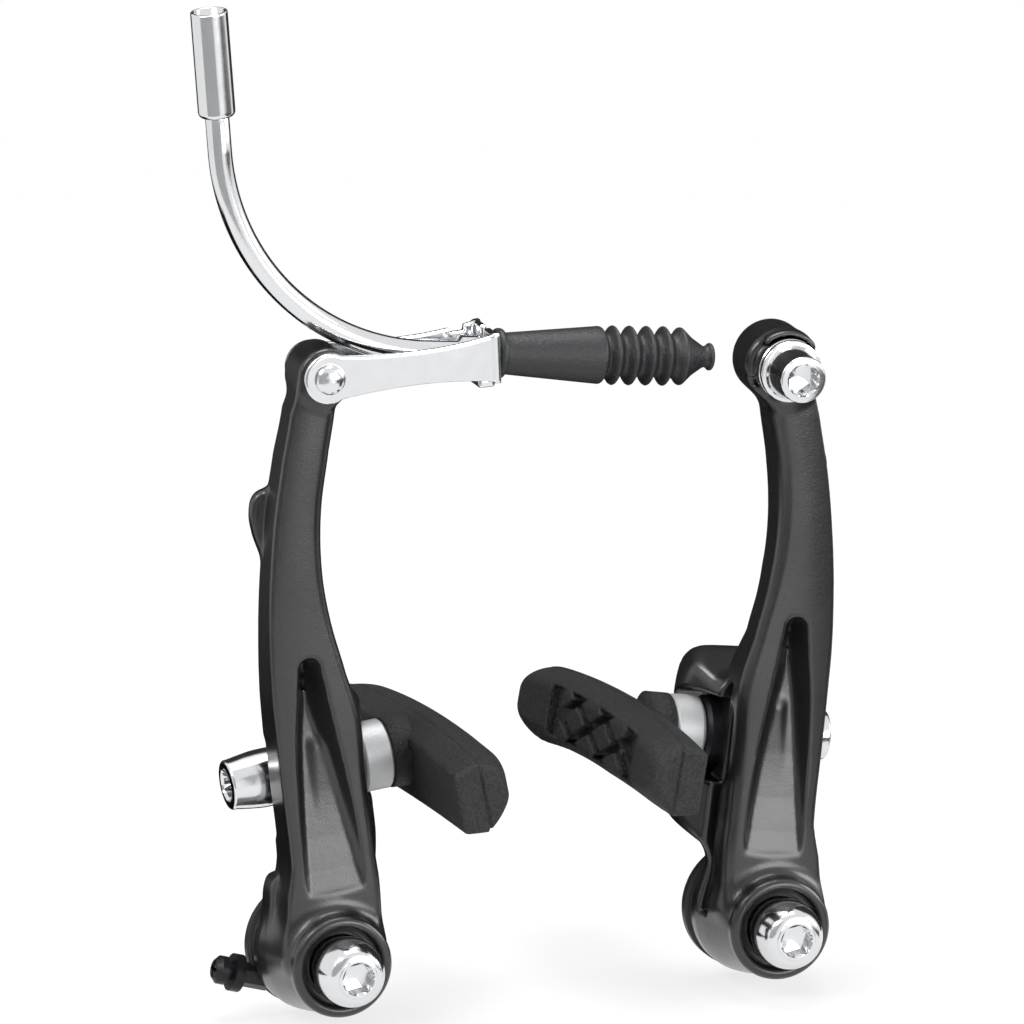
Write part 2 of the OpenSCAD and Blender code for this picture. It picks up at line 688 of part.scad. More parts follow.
// Tread: two cross grooves, and diagonal grooves that cross between them
tread_y = 1.9;
lattice_y = 3.6;
tread_h = pad_h - 2 * face_bevel - 0.4;
module tread() {
    depth_at = back_of_pad + pad_t - tread_depth;
    on_pad() intersection() {
        translate([-depth_at - 10, -through, -tread_h / 2]) cube([10, 2 * through, tread_h]);
        union() {
            for (s = [-1, 1])
                translate([-depth_at - 10, tread_y + s * cross_groove_y - cross_groove / 2, -through])
                    cube([10, cross_groove, 2 * through]);
            intersection() {
                translate([-depth_at - 10, tread_y - cross_groove_y, -through])
                    cube([10, 2 * cross_groove_y, 2 * through]);
                for (s = [-1, 1], k = [-2:2])
                    translate([-depth_at - 5, lattice_y, 0]) rotate([s * diagonal_slant, 0, 0])
                        translate([0, 0, k * diagonal_pitch])
                            cube([10, 2 * through, diagonal_groove], center = true);
            }
        }
    }
}
module brake_pad() {
    color("dimgray") difference() {
        pad_body();
        tread();
        turned_on_stud([[0, 0], [stud_d / 2, 0], [stud_d / 2, back_of_pad + 2.4],
            [stud_d / 2 + 1.5, back_of_pad + 2.4],
            [stud_d / 2 + 1.5, back_of_pad + 2.4 + stud_flange_t],
            [0, back_of_pad + 2.4 + stud_flange_t]]);
    }
}

// Link frame: origin at the rivet on the left arm
function arm_place(side, inward, up) =
    [side * (pivot_spacing / 2 - inward * cos(arm_splay) + up * sin(arm_splay)), 0,
        inward * sin(arm_splay) + up * cos(arm_splay)];
rivet_at = arm_place(-1, rivet_in, rivet_up);
plate_gap = 0.2;
link_front = arm_front + plate_gap + link_t;
link_back = arm_top_back - plate_gap - link_t;
link_mid = (link_front + link_back) / 2;
module on_link() {
    translate(rivet_at) rotate([0, -link_tilt, 0]) children();
}

// Side plate of the link, seen from the front
function waist(t) = link_waist / 2
    + (t < 0.5 ? (link_end_r - 0.5 - link_waist / 2) * pow(1 - t / 0.5, 2)
        : (link_fold_h / 2 - link_waist / 2) * pow((t - 0.5) / 0.5, 2));
module plate_outline() {
    circle(r = link_end_r);
    polygon(concat(
        [for (i = [0:16]) [1.4 + (link_len - 1.4) * i / 16, waist(i / 16)]],
        [for (i = [16:-1:0]) [1.4 + (link_len - 1.4) * i / 16, -waist(i / 16)]]));
}
nose_hole = noodle_d / 2 + run_gap;
module link() {
    color("silver") on_link() difference() {
        union() {
            for (y = [link_back, link_front - link_t])
                translate([0, -y, 0]) rotate([90, 0, 0])
                    linear_extrude(height = link_t) plate_outline();
            // Folded end that carries the noodle's nose
            translate([link_len - link_t, -link_front, -link_fold_h / 2])
                cube([link_t, link_front - link_back, link_fold_h]);
            // Lower lip of the fold
            translate([link_len - 3, -link_mid - 2.6, -link_fold_h / 2 - 1.4])
                cube([3, 5.2, 1.5]);
        }
        y_cylinder(rivet_d / 2 + run_gap, 0, 40);
        // Notch in the back plate that lets the noodle lift out
        translate([link_len - 5.6, -link_back - link_t - 1, link_fold_h / 2 - 1.6])
            cube([2.6, link_t + 2, 3]);
        // Hole for the nose, open to the lip by a slot as wide as the cable
        on_nose_in_link() {
            cylinder(r = nose_hole, h = 12, center = true);
            translate([0, -cable_d / 2 - 0.3, -6]) cube([12, cable_d + 0.6, 12]);
        }
    }
}
module link_rivet() {
    r = rivet_head_d / 2;
    color("silver") on_link() turned([[0, link_back - 1.1], [r - 0.9, link_back - 1.1],
        [r, link_back - 0.5], [r, link_back], [rivet_d / 2, link_back],
        [rivet_d / 2, link_front], [r, link_front],
        for (a = [0:15:75]) [r * cos(a), link_front + 0.3 + 1.3 * sin(a)],
        [0, link_front + 1.6]]);
}

// Noodle frame: origin where its nose leaves the link, Z along the nose
nose_at = [link_len, -link_mid, -0.5];
module on_nose_in_link() {
    translate(nose_at) rotate([0, 90 + link_tilt + nose_tilt, 0]) children();
}
module on_nose() {
    on_link() on_nose_in_link() children();
}
// One ring round the noodle: a is how far round the bend, along how far on past it
bend_steps = 20;
ring_sides = 24;
function noodle_ring(r, a, along) =
    [for (k = [ring_sides:-1:1])
        let (q = 360 * k / ring_sides, d = noodle_r + r * cos(q))
        [d * cos(a) - noodle_r - along * sin(a), r * sin(q),
            -noodle_tail - d * sin(a) - along * cos(a)]];
module noodle_core(r, nose, lead) {
    skin(concat([noodle_ring(r, 0, -noodle_tail - nose)],
        [for (i = [0:bend_steps]) noodle_ring(r, noodle_turn * i / bend_steps, 0)],
        [noodle_ring(r, noodle_turn, lead)]));
}
module noodle_path(r0, r1, nose, lead) {
    difference() {
        noodle_core(r1, nose, lead);
        noodle_core(r0, nose + 1, lead + 1);
    }
}
// The end of the bend, with Z pointing up the lead
module on_lead() {
    translate([noodle_r * cos(noodle_turn) - noodle_r, 0, -noodle_tail - noodle_r * sin(noodle_turn)])
        rotate([0, 180 + noodle_turn, 0]) children();
}
liner_wall = 0.6;
module noodle_tube() {
    color("silver") on_nose() noodle_path(noodle_bore / 2, noodle_d / 2, nose_len, noodle_lead + 6);
}
module noodle_liner() {
    r = noodle_bore / 2 - 0.03;
    color("white") on_nose() noodle_path(r - liner_wall, r, nose_len + 1, noodle_lead + 5);
}
// Crimped shoulder that stops the noodle in the link, clear of the fold that it leans to
shoulder_gap = 0.8;
module noodle_nose() {
    color("goldenrod") on_nose() translate([0, 0, -link_t - shoulder_gap - 4]) difference() {
        rotate_extrude() polygon([[noodle_d / 2, 0], [3.1, 0.5], [3.1, 3.6], [2.7, 4],
            [noodle_d / 2, 4]]);
        translate([0, 0, -1]) cylinder(r = noodle_d / 2, h = 6);
    }
}
ferrule_seat = 8;
module ferrule() {
    color("silver") on_nose() on_lead()
        translate([0, 0, noodle_lead]) rotate_extrude() polygon([
            [noodle_d / 2, 0], [ferrule_d / 2 - 0.9, 0], [ferrule_d / 2 - 0.3, 0.3],
            [ferrule_d / 2, 1], [ferrule_d / 2, ferrule_len - 0.2],
            [ferrule_d / 2 - 0.2, ferrule_len], [housing_d / 2 + run_gap, ferrule_len],
            [housing_d / 2 + run_gap, ferrule_seat], [noodle_d / 2, ferrule_seat]]);
}

// Rubber boot on the nose: collar, cone, pleats and a small tip
boot_start = -0.4;
boot_gap = 0.4;
pleat_start = boot_start + 2.4 + cone_len;
pleat_end = pleat_start + pleats * pleat_pitch;
tip_cone = 5.6;
boot_len = pleat_end + tip_cone + 2;
module boot() {
    crest = boot_d / 2;
    valley = valley_d / 2;
    bore = noodle_d / 2 + 0.03;
    outer = concat(
        [[bore, boot_start], [collar_d / 2 - 0.5, boot_start], [collar_d / 2, boot_start + 0.6],
            [collar_d / 2, boot_start + 1.8], [collar_d / 2 - 0.6, boot_start + 2.4],
            [valley, boot_start + 2.5], [crest - 0.1, pleat_start - 0.5],
            [crest - 0.5, pleat_start - 0.1], [valley, pleat_start + 0.2]],
        [for (i = [0:pleats - 1], k = [0:5])
            let (a = 360 * (k + 0.5) / 6)
            [(crest + valley) / 2 - (crest - valley) / 2 * cos(a),
                pleat_start + 0.2 + (i + (k + 0.5) / 6) * pleat_pitch]],
        [[valley + 0.1, pleat_end + 0.3], [crest - 0.3, pleat_end + 1], [crest - 0.2, pleat_end + 1.5],
            [crest - 0.6, pleat_end + 1.9],
            [neck_d / 2, boot_len - 1.6],
            [neck_d / 2, boot_len - 1.2], [neck_d / 2 + 0.6, boot_len - 0.9],
            [neck_d / 2 + 0.6, boot_len - 0.3], [neck_d / 2 + 0.3, boot_len],
            [tip_hole_d / 2, boot_len]]);
    inner = [[tip_hole_d / 2, boot_len - 2.4], [valley - boot_wall, pleat_end - 0.6],
        [valley - boot_wall, nose_len + 2.4], [bore, nose_len + 1.4]];
    color("black") on_nose() difference() {
        rotate_extrude() polygon(concat(outer, inner));
        // The collar's end lies along the link's fold
        rotate([0, -90 - link_tilt - nose_tilt, 0]) translate([-through, -through / 2, -through / 2])
            cube([through + boot_gap, through, through]);
    }
}

// Cable anchor on the right arm
clamp_back = seat_face + 0.2;
clamp_front = clamp_back + clamp_t;
module on_anchor() {
    on_arm(1) translate([-anchor_in, 0, anchor_up]) children();
}
module anchor_bolt() {
    r = anchor_flange_d / 2;
    flange_t = 1.2;
    top = clamp_front + flange_t + anchor_head_h;
    color("silver") on_anchor() difference() {
        turned([[0, arm_top_back - 1.6], [pivot_bolt_d / 2 - 0.5, arm_top_back - 1.6],
            [pivot_bolt_d / 2, arm_top_back - 1.1], [pivot_bolt_d / 2, clamp_front],
            [r - 0.2, clamp_front], [r, clamp_front + 0.2], [r, clamp_front + flange_t - 0.3],
            [r - 0.3, clamp_front + flange_t], [r - 0.7, clamp_front + flange_t],
            [r - 0.9, clamp_front + flange_t + 1], [anchor_tip_d / 2 + 0.2, top - 0.5],
            [anchor_tip_d / 2 - 0.3, top], [hex_af / 2 / cos(30) + 0.3, top], [0, top]]);
        translate([0, -top + hex_depth, 0]) rotate([90, 0, 0])
            hex_prism(hex_af, hex_depth + 1);
    }
}
module clamp_washer() {
    color("silver") on_anchor() difference() {
        turned([[0, clamp_back], [anchor_flange_d / 2 - 0.3, clamp_back],
            [anchor_flange_d / 2, clamp_back + 0.3], [anchor_flange_d / 2, clamp_front - 0.3],
            [anchor_flange_d / 2 - 0.3, clamp_front], [0, clamp_front]]);
        y_cylinder(pivot_bolt_d / 2 + fit_gap, 0, 40);
        translate([-20, -clamp_back - cable_d / 2 + 0.3, -pivot_bolt_d / 2 - cable_d / 2])
            cube([40, cable_d, cable_d]);
    }
}

left_arm();
right_arm();
on_side(-1) bushing();  // left_bushing
on_side(1) bushing();  // right_bushing
on_side(-1) pivot_bolt();  // left_pivot_bolt
on_side(1) pivot_bolt();  // right_pivot_bolt
on_side(-1) pivot_washer();  // left_pivot_washer
on_side(1) pivot_washer();  // right_pivot_washer
on_side(-1) spring_housing(true);  // left_spring_housing
on_side(1) spring_housing(false);  // right_spring_housing
on_arm(-1) return_spring();  // left_return_spring
on_arm(1) return_spring();  // right_return_spring
tension_screw();
on_arm(-1) brake_pad();  // left_pad
on_arm(1) brake_pad();  // right_pad
on_arm(-1) pad_stud();  // left_pad_stud
on_arm(1) pad_stud();  // right_pad_stud
on_arm(-1) dome_washer(cup_in, thick_len, 1);  // left_thick_washer
on_arm(1) dome_washer(cup_in, thick_len, 1);  // right_thick_washer
on_arm(-1) cup_washer(seat_in, 1);  // left_inner_cup
on_arm(1) cup_washer(seat_in, 1);  // right_inner_cup
on_arm(-1) cup_washer(outer_seat, -1);  // left_outer_cup
on_arm(1) cup_washer(outer_seat, -1);  // right_outer_cup
on_arm(-1) dome_washer(outer_lip, thin_len, -1);  // left_thin_washer
on_arm(1) dome_washer(outer_lip, thin_len, -1);  // right_thin_washer
on_arm(-1) pad_nut();  // left_pad_nut
on_arm(1) pad_nut();  // right_pad_nut
link();
link_rivet();
noodle_tube();
ferrule();
noodle_liner();
noodle_nose();
boot();
anchor_bolt();
clamp_washer();
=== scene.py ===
import math

import bpy
import numpy as np
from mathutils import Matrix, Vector


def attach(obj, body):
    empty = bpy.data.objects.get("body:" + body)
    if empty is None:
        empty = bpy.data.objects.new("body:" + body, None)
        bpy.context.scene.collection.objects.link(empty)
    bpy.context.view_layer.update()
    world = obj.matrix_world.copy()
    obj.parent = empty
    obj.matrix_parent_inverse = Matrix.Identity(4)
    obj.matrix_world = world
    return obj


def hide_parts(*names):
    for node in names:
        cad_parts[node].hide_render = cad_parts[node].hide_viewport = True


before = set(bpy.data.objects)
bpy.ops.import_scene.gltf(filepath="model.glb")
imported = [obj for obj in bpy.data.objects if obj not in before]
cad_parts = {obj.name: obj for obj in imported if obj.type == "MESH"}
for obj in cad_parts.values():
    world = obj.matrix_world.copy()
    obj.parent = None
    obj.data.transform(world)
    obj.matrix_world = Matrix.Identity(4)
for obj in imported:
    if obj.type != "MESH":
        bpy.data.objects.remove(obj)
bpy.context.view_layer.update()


# The forged arms
# Each arm is hot-forged from aluminium, so its boss, beam and lugs run into each other in round fillets.
# Its bores, washer seat and spring groove are machined, and the whole arm is then painted black.
PIVOT_X = 40.0
SPLAY = math.radians(6.9)
ARM_STATIONS = np.array([
    # height, inner edge, outer edge, front face, back face
    [2, -9.6, 8.4, 17.4, 5.2],
    [12, -10.2, 6.7, 17.2, 4.8],
    [18, -10.1, 5.2, 17.0, 4.8],
    [32, -10.2, 5.1, 16.7, 4.8],
    [42, -10.5, 5.0, 16.6, 5.0],
    [50, -9.2, 4.8, 16.5, 5.6],
    [61, -7.4, 3.8, 16.4, 6.2],
    [70, -7.0, 2.4, 16.4, 6.4],
    [80, -8.1, 0.4, 16.3, 6.5],
    [90, -10.7, -2.3, 16.2, 6.8],
    [98, -13.0, -4.8, 16.0, 7.2],
    [101.5, -14.2, -6.3, 16.0, 7.2],
])
POCKET = np.array([
    # height, left edge, right edge, distance of the floor
    [8, -7.5, 3.9, 18.4],
    [11, -7.45, 3.85, 17.6],
    [13, -7.4, 3.8, 16.8],
    [16, -7.35, 3.75, 16.0],
    [22, -7.2, 3.5, 14.9],
    [30, -6.65, 3.1, 13.7],
    [40, -5.5, 2.3, 12.5],
    [50, -4.4, 0.75, 11.6],
    [53, -4.1, 0.3, 11.4],
    [60, -4.0, 0.0, 11.3],
])
POCKET_TOP = 52.6
LUG_FROM_FRONT = [(-15.7, 38), (-15.7, 17.0), (-14.0, 13.9), (-12.4, 12.1), (-10.4, 10.7), (-8.4, 9.4),
                  (-2.4, 5.6), (-2.4, 45.3), (-10.5, 45.3), (-13.9, 43.2), (-15.2, 41)]
LUG_FROM_ABOVE = [(-15.8, -4.9), (0, -4.9), (0, 12.4), (-9.5, 12.4), (-12.0, 8.0), (-15.8, -1.5)]
FINGER_REST = [(-3, 83.6), (-3, 70.5), (0.4, 69.4), (2.3, 72.4), (3.3, 76.2), (3.3, 80.4), (2.2, 83.0), (0.4, 83.9)]
COIL_RIB = [(1, 0), (9.3, 0), (9.2, 4), (7.7, 13), (6.6, 14.6), (1, 14.9)]
BOSS_BACK, BOSS_FRONT = 4.2, 20.8
BUSHING_BORE, BOLT_RECESS, RECESS_FLOOR = 5.35, 7.1, 19.2
COIL_MIDDLE, COIL_ROOM, COIL_DEEP = 8.0, 1.3, 10.8
LINK_HEAD, LINK_HEAD_RADIUS, RIVET_BORE = (-11.4, 103.4), 5.0, 2.05
ANCHOR_HEAD, ANCHOR_HEAD_RADIUS, ANCHOR_BORE = (-9.8, 98.8), 6.6, 3.1
SEAT_IN, SEAT_RADIUS = 9.4, 7.2
STUD_UP, STUD_FORWARD, STUD_BORE = 30.4, 1.0, 3.3


def eased(stations, height):
    """Values between stations: a cubic through the two stations on each side of the height."""
    z = stations[:, 0]
    i = np.clip(np.searchsorted(z, height, side="right") - 1, 0, len(z) - 2)
    t = ((height - z[i]) / (z[i + 1] - z[i]))[..., None]
    t = np.clip(t, 0, 1)
    a, b, c, d = (stations[np.clip(i + k, 0, len(z) - 1), 1:] for k in (-1, 0, 1, 2))
    return b + 0.5 * t * (c - a + t * (2 * a - 5 * b + 4 * c - d + t * (3 * (b - c) + d - a)))


def fillet(a, b, k):
    """Union of two distance fields: the lower one, lowered where they are within k of each other."""
    h = np.maximum(k - np.abs(a - b), 0)
    return np.minimum(a, b) - h * h / (4 * k)


def common(a, b, k):
    """Overlap of two distance fields, with its edge rounded over k."""
    return -fillet(-a, -b, k)


def carve(a, b, k):
    """First field less the second, with the cut's edge rounded over k."""
    return common(a, -b, k)


def rounded_box(x, y, x0, x1, y0, y1, r):
    """Distance to a rectangle whose corners are rounded to radius r."""
    qx = np.abs(x - (x0 + x1) / 2) - (x1 - x0) / 2 + r
    qy = np.abs(y - (y0 + y1) / 2) - (y1 - y0) / 2 + r
    return np.hypot(np.maximum(qx, 0), np.maximum(qy, 0)) + np.minimum(np.maximum(qx, qy), 0) - r


def arm_section(u, v, inner, outer, back, front):
    """Distance to the arm's section: a rectangle whose four corners have radii of their own, chosen by quadrant."""
    right, ahead = u > (inner + outer) / 2, v > (back + front) / 2
    r = np.where(ahead, np.where(right, 1.3, 2.8), np.where(right, 2.4, 2.0))
    qx = np.abs(u - (inner + outer) / 2) - (outer - inner) / 2 + r
    qy = np.abs(v - (back + front) / 2) - (front - back) / 2 + r
    return np.hypot(np.maximum(qx, 0), np.maximum(qy, 0)) + np.minimum(np.maximum(qx, qy), 0) - r


def convex(x, y, corners, k):
    """Distance to a convex outline, anticlockwise: the furthest of its edges' distances, corners rounded over k."""
    field = None
    for (x0, y0), (x1, y1) in zip(corners, corners[1:] + corners[:1]):
        length = math.hypot(x1 - x0, y1 - y0)
        edge = ((x - x0) * (y1 - y0) - (y - y0) * (x1 - x0)) / length
        field = edge if field is None else common(field, edge, k)
    return field


def skin_of(field, corner, step):
    """Skin of a distance field on a grid, as points and four-sided faces: one point in each cell that the
    surface passes through, at the mean of its crossings of the cell's edges, and one face across each grid
    edge that the surface crosses."""
    inside = field < 0
    nx, ny, nz = field.shape
    count = sum(inside[i:nx - 1 + i, j:ny - 1 + j, k:nz - 1 + k].astype(np.int8)
                for i in (0, 1) for j in (0, 1) for k in (0, 1))
    cells = np.argwhere((count > 0) & (count < 8))
    number = np.full((nx - 1, ny - 1, nz - 1), -1, np.int64)
    number[tuple(cells.T)] = np.arange(len(cells))
    total = np.zeros((len(cells), 3))
    crossings = np.zeros(len(cells))
    for axis in range(3):
        others = [k for k in range(3) if k != axis]
        for p in (0, 1):
            for q in (0, 1):
                a = cells.copy()
                a[:, others[0]] += p
                a[:, others[1]] += q
                b = a.copy()
                b[:, axis] += 1
                fa, fb = field[tuple(a.T)], field[tuple(b.T)]
                cross = (fa < 0) != (fb < 0)
                t = np.where(cross, fa / np.where(cross, fa - fb, 1), 0)
                total += cross[:, None] * (a + t[:, None] * (b - a))
                crossings += cross
    points = total / crossings[:, None] * step + np.asarray(corner)
    faces = []
    for axis in range(3):
        u, v = (axis + 1) % 3, (axis + 2) % 3
        low = [slice(None)] * 3
        high = [slice(None)] * 3
        low[axis], high[axis] = slice(0, -1), slice(1, None)
        for k in (u, v):
            low[k] = high[k] = slice(1, -1)
        fa, fb = inside[tuple(low)], inside[tuple(high)]
        edge = np.argwhere(fa != fb)
        rising = fa[tuple(edge.T)]
        edge[:, u] += 1
        edge[:, v] += 1
        quad = []
        for du, dv in ((-1, -1), (0, -1), (0, 0), (-1, 0)):
            c = edge.copy()
            c[:, u] += du
            c[:, v] += dv
            quad.append(number[tuple(c.T)])
        quad = np.stack(quad, 1)
        faces.append(np.where(rising[:, None], quad, quad[:, ::-1]))
    return points, np.concatenate(faces)


def settled(points, field, reach=0.03):
    """Points moved onto the field's surface by Newton's rule: each goes back along the slope by value / slope."""
    for _ in range(2):
        value = field(*points.T)
        slope = np.stack([(field(*(points + reach * e).T) - field(*(points - reach * e).T)) / (2 * reach)
                          for e in np.eye(3)], 1)
        steep = np.maximum((slope ** 2).sum(1), 0.04)
        move = -(value / steep)[:, None] * slope
        points = points + np.clip(move, -0.25, 0.25)
    return points


def grid(low, high, step):
    """Coordinates of a grid from low to high, as three arrays that broadcast."""
    return np.meshgrid(*(np.arange(a, b + step, step) for a, b in zip(low, high)),
                       indexing="ij", sparse=True)


def made(name, points, faces, body, replaced=(), slot=None):
    """Smooth-shaded mesh from points in millimetres, fixed to its body, in place of the nodes it stands for."""
    mesh = bpy.data.meshes.new(name)
    mesh.from_pydata((np.asarray(points) * 0.001).tolist(), [], [tuple(f) for f in faces])
    mesh.polygons.foreach_set("use_smooth", np.ones(len(mesh.polygons), bool))
    mesh.validate()
    mesh.update()
    obj = bpy.data.objects.new(name, mesh)
    bpy.context.scene.collection.objects.link(obj)
    if replaced:
        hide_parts(*replaced)
    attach(obj, body)
    return obj


def arm_field(u, v, w, head):
    """Distance to an upright arm, where u is outward, v forward and w up from the pivot."""
    s = eased(ARM_STATIONS, w)
    inner, outer, front, back = (s[..., k] for k in range(4))
    top = head[1] - 1
    lean = np.interp(w, [40, 50, 56, 62, 80], [0, 1.7, 1.5, 0.9, 0])
    behind = (front - v) / (front - back)
    crown = 0.45 * ((u - (inner + outer) / 2) / ((outer - inner) / 2)) ** 2
    beam = arm_section(u, v, inner + lean * behind, outer + 0.5 * (1 - behind), back, front)
    beam = np.maximum(beam, v - front + np.minimum(crown, 0.6))
    beam = common(beam, w - top, 2)
    beam = common(beam, 1 - w, 2)

    # Teardrop pocket: steep straight walls that run into its floor in a fillet, and a round top
    pocket = eased(POCKET, w)
    left, right, floor = (pocket[..., k] for k in range(3))
    middle, half = (left + right) / 2, (right - left) / 2
    edge = half - np.hypot(u - middle, np.maximum(w - POCKET_TOP, 0))
    wall_slope = np.where(u < middle, 1.7, 2.1)
    depth = fillet(wall_slope * edge, front - floor, 1.6)
    beam = common(beam, 0.6 * (v - front + depth), 0.2)

    # Boss barrel with its rounded front lip
    rho = np.hypot(u, w)
    radius = np.interp(v, [4.2, 7.2, 10.2, 14.6, 18.2, 21.2], [11.0, 11.0, 10.5, 9.6, 8.9, 8.5])
    barrel = common(rho - radius, np.abs(v - (BOSS_BACK + BOSS_FRONT) / 2) - (BOSS_FRONT - BOSS_BACK) / 2, 1.2)
    lip = np.hypot(rho - 7.9, v - 20.1) - 1.15
    barrel = fillet(barrel, lip, 0.5)
    arm = fillet(beam, barrel, 2.6)

    # Lug on the inner back, with the two horns that the washers sit between, and a top that slopes forward
    lug = convex(u, w, LUG_FROM_FRONT, 1.0)
    lug = common(lug, convex(u, v, LUG_FROM_ABOVE, 1.0), 0.8)
    lug = common(lug, (w - 44.9 + 0.4 * (v + 4.8)) / 1.077, 1.6)
    lug = carve(lug, common(rho - 11.5, v - BOSS_BACK, 0.3), 0.6)
    arm = fillet(arm, lug, 2.2)

    # Finger rest, and the rib over the coil's mouth
    rest = convex(u, w, FINGER_REST, 1.2)
    rest = common(rest, np.abs(v - 7.9) - 1.2, 0.9)
    arm = fillet(arm, rest, 1.2)
    rib = convex(u, w, COIL_RIB, 0.8)
    rib = common(rib, np.abs(v - 6.7) - 2.5, 0.8)
    arm = fillet(arm, rib, 1.0)

    # Machined cuts: bushing bore, bolt recess, coil room, washer seat, stud slot and spring groove
    arm = carve(arm, rho - BUSHING_BORE, 0.3)
    arm = carve(arm, common(rho - BOLT_RECESS, RECESS_FLOOR - v, 0.3), 0.5)
    arm = carve(arm, common(np.abs(rho - COIL_MIDDLE) - COIL_ROOM, v - COIL_DEEP, 0.3), 0.3)
    round_seat = np.hypot(v - STUD_FORWARD, w - STUD_UP) - SEAT_RADIUS
    square_seat = rounded_box(v, w, STUD_FORWARD, 12.8, STUD_UP - 7.5, STUD_UP + 7.5, 2.4)
    seat = common(np.minimum(round_seat, square_seat), u + SEAT_IN, 0.4)
    arm = carve(arm, seat, 0.6)
    wall = common(rounded_box(v, w, -30, 7.5, STUD_UP - 9.5, STUD_UP + 9.5, 2), -3.4 - u, 0.4)
    arm = carve(arm, wall, 0.6)
    slot = np.hypot(v - STUD_FORWARD, w - np.clip(w, STUD_UP - 4, STUD_UP + 4)) - STUD_BORE
    arm = carve(arm, common(slot, u + 2, 0.3), 0.4)
    groove = common(rounded_box(v, w, 8.46, 11.26, 0, 41, 0.6), u + 6.8, 0.3)
    return carve(arm, groove, 0.5)


def arm_points(points, side):
    """Points of an upright arm, leaned to its splay and set on its pivot. Side is 1 right or -1 left."""
    u, v, w = points.T
    x = PIVOT_X + u * math.cos(SPLAY) + w * math.sin(SPLAY)
    z = -u * math.sin(SPLAY) + w * math.cos(SPLAY)
    return np.stack([side * x, -v, z], 1)


def left_field(u, v, w):
    """Left arm: the common arm with the round head that the link's plates lie against."""
    across, up = u - LINK_HEAD[0], w - LINK_HEAD[1]
    radius = np.hypot(across, up)
    head = common(radius - LINK_HEAD_RADIUS, np.abs(v - 11.6) - 4.4, 0.9)
    return carve(fillet(arm_field(u, v, w, LINK_HEAD), head, 2.0), radius - RIVET_BORE, 0.3)


def right_field(u, v, w):
    """Right arm: the common arm with a drum for the anchor bolt, a ledge over its washer and a cable groove."""
    across, up = u - ANCHOR_HEAD[0], w - ANCHOR_HEAD[1]
    radius = np.hypot(across, up)
    drum = common(radius - ANCHOR_HEAD_RADIUS, np.abs(v - 11.0) - 4.4, 1.4)
    ledge = common(radius - ANCHOR_HEAD_RADIUS, np.abs(v - 15.9) - 1.7, 0.8)
    ledge = common(ledge, convex(across, up, [(-4.4, 2), (5.0, 2), (5.0, 9), (-4.4, 9)], 0.6), 0.6)
    arm = fillet(arm_field(u, v, w, ANCHOR_HEAD), drum, 2.4)
    arm = fillet(arm, ledge, 0.8)
    arm = carve(arm, common(radius - 5.8, 15.4 - v, 0.2), 0.3)
    arm = carve(arm, radius - ANCHOR_BORE, 0.3)
    return carve(arm, rounded_box(v, up, 14.65, 30, -3.75, -2.25, 0.2) + 0 * u, 0.3)


ARM_STEP = 0.42
ARM_LOW, ARM_HIGH = (-19, -6.5, -13), (12, 23, 111)
points, faces = skin_of(left_field(*grid(ARM_LOW, ARM_HIGH, ARM_STEP)), ARM_LOW, ARM_STEP)
left_arm = made("left_arm_forging", arm_points(settled(points, left_field), -1), faces,
                "left_arm", ["left_arm"], "arm_paint")
points, faces = skin_of(right_field(*grid(ARM_LOW, ARM_HIGH, ARM_STEP)), ARM_LOW, ARM_STEP)
right_arm = made("right_arm_forging", arm_points(settled(points, right_field), 1), faces[:, ::-1],
                 "right_arm", ["right_arm"], "arm_paint")


def linear(code):
    """Linear colour of an sRGB hex value."""
    parts = [int(code[i:i + 2], 16) / 255 for i in (1, 3, 5)]
    return [c / 12.92 if c <= 0.04045 else ((c + 0.055) / 1.055) ** 2.4 for c in parts] + [1.0]


def add(tree, kind, settings=None, inputs=None):
    """Adds one node: settings are its properties, inputs its sockets' values or the sockets that feed them."""
    node = tree.nodes.new(kind)
    for key, value in (settings or {}).items():
        setattr(node, key, value)
    for key, value in (inputs or {}).items():
        if isinstance(value, bpy.types.NodeSocket):
            tree.links.new(value, node.inputs[key])
        else:
            node.inputs[key].default_value = value
    return node


def finish_of(name, shader):
    """New material with a Principled shader whose sockets are set from the given values."""
    material = bpy.data.materials.new(name)
    material.use_nodes = True
    tree = material.node_tree
    tree.nodes.clear()
    surface = add(tree, "ShaderNodeBsdfPrincipled", inputs=shader)
    add(tree, "ShaderNodeOutputMaterial", inputs={"Surface": surface.outputs["BSDF"]})
    place = add(tree, "ShaderNodeTexCoord").outputs["Object"]
    return material, tree, surface, place


# Black paint stoved on forged aluminium: near black, with long soft highlights under a clear top coat. It is
# thin, so the blasted forging's grain, 0.35 mm across, shows through, over waves of orange peel 2 mm long.
arm_paint, tree, surface, place = finish_of("black_gloss_paint", {
    "Base Color": linear("#101112"), "Roughness": 0.3, "IOR": 1.5, "Coat Weight": 0.5, "Coat Roughness": 0.22})
peel = add(tree, "ShaderNodeTexNoise", inputs={"Vector": place, "Scale": 500.0, "Detail": 1.0})
peel_bump = add(tree, "ShaderNodeBump", inputs={"Height": peel.outputs["Fac"], "Strength": 0.12, "Distance": 0.0002})
grain = add(tree, "ShaderNodeTexNoise", inputs={"Vector": place, "Scale": 2800.0, "Detail": 2.0})
grain_bump = add(tree, "ShaderNodeBump", inputs={
    "Height": grain.outputs["Fac"], "Strength": 0.3, "Distance": 0.0001, "Normal": peel_bump.outputs["Normal"]})
tree.links.new(grain_bump.outputs["Normal"], surface.inputs["Normal"])
patch = add(tree, "ShaderNodeTexNoise", inputs={"Vector": place, "Scale": 140.0, "Detail": 3.0})
gloss = add(tree, "ShaderNodeMapRange", inputs={"Value": patch.outputs["Fac"], "To Min": 0.24, "To Max": 0.36})
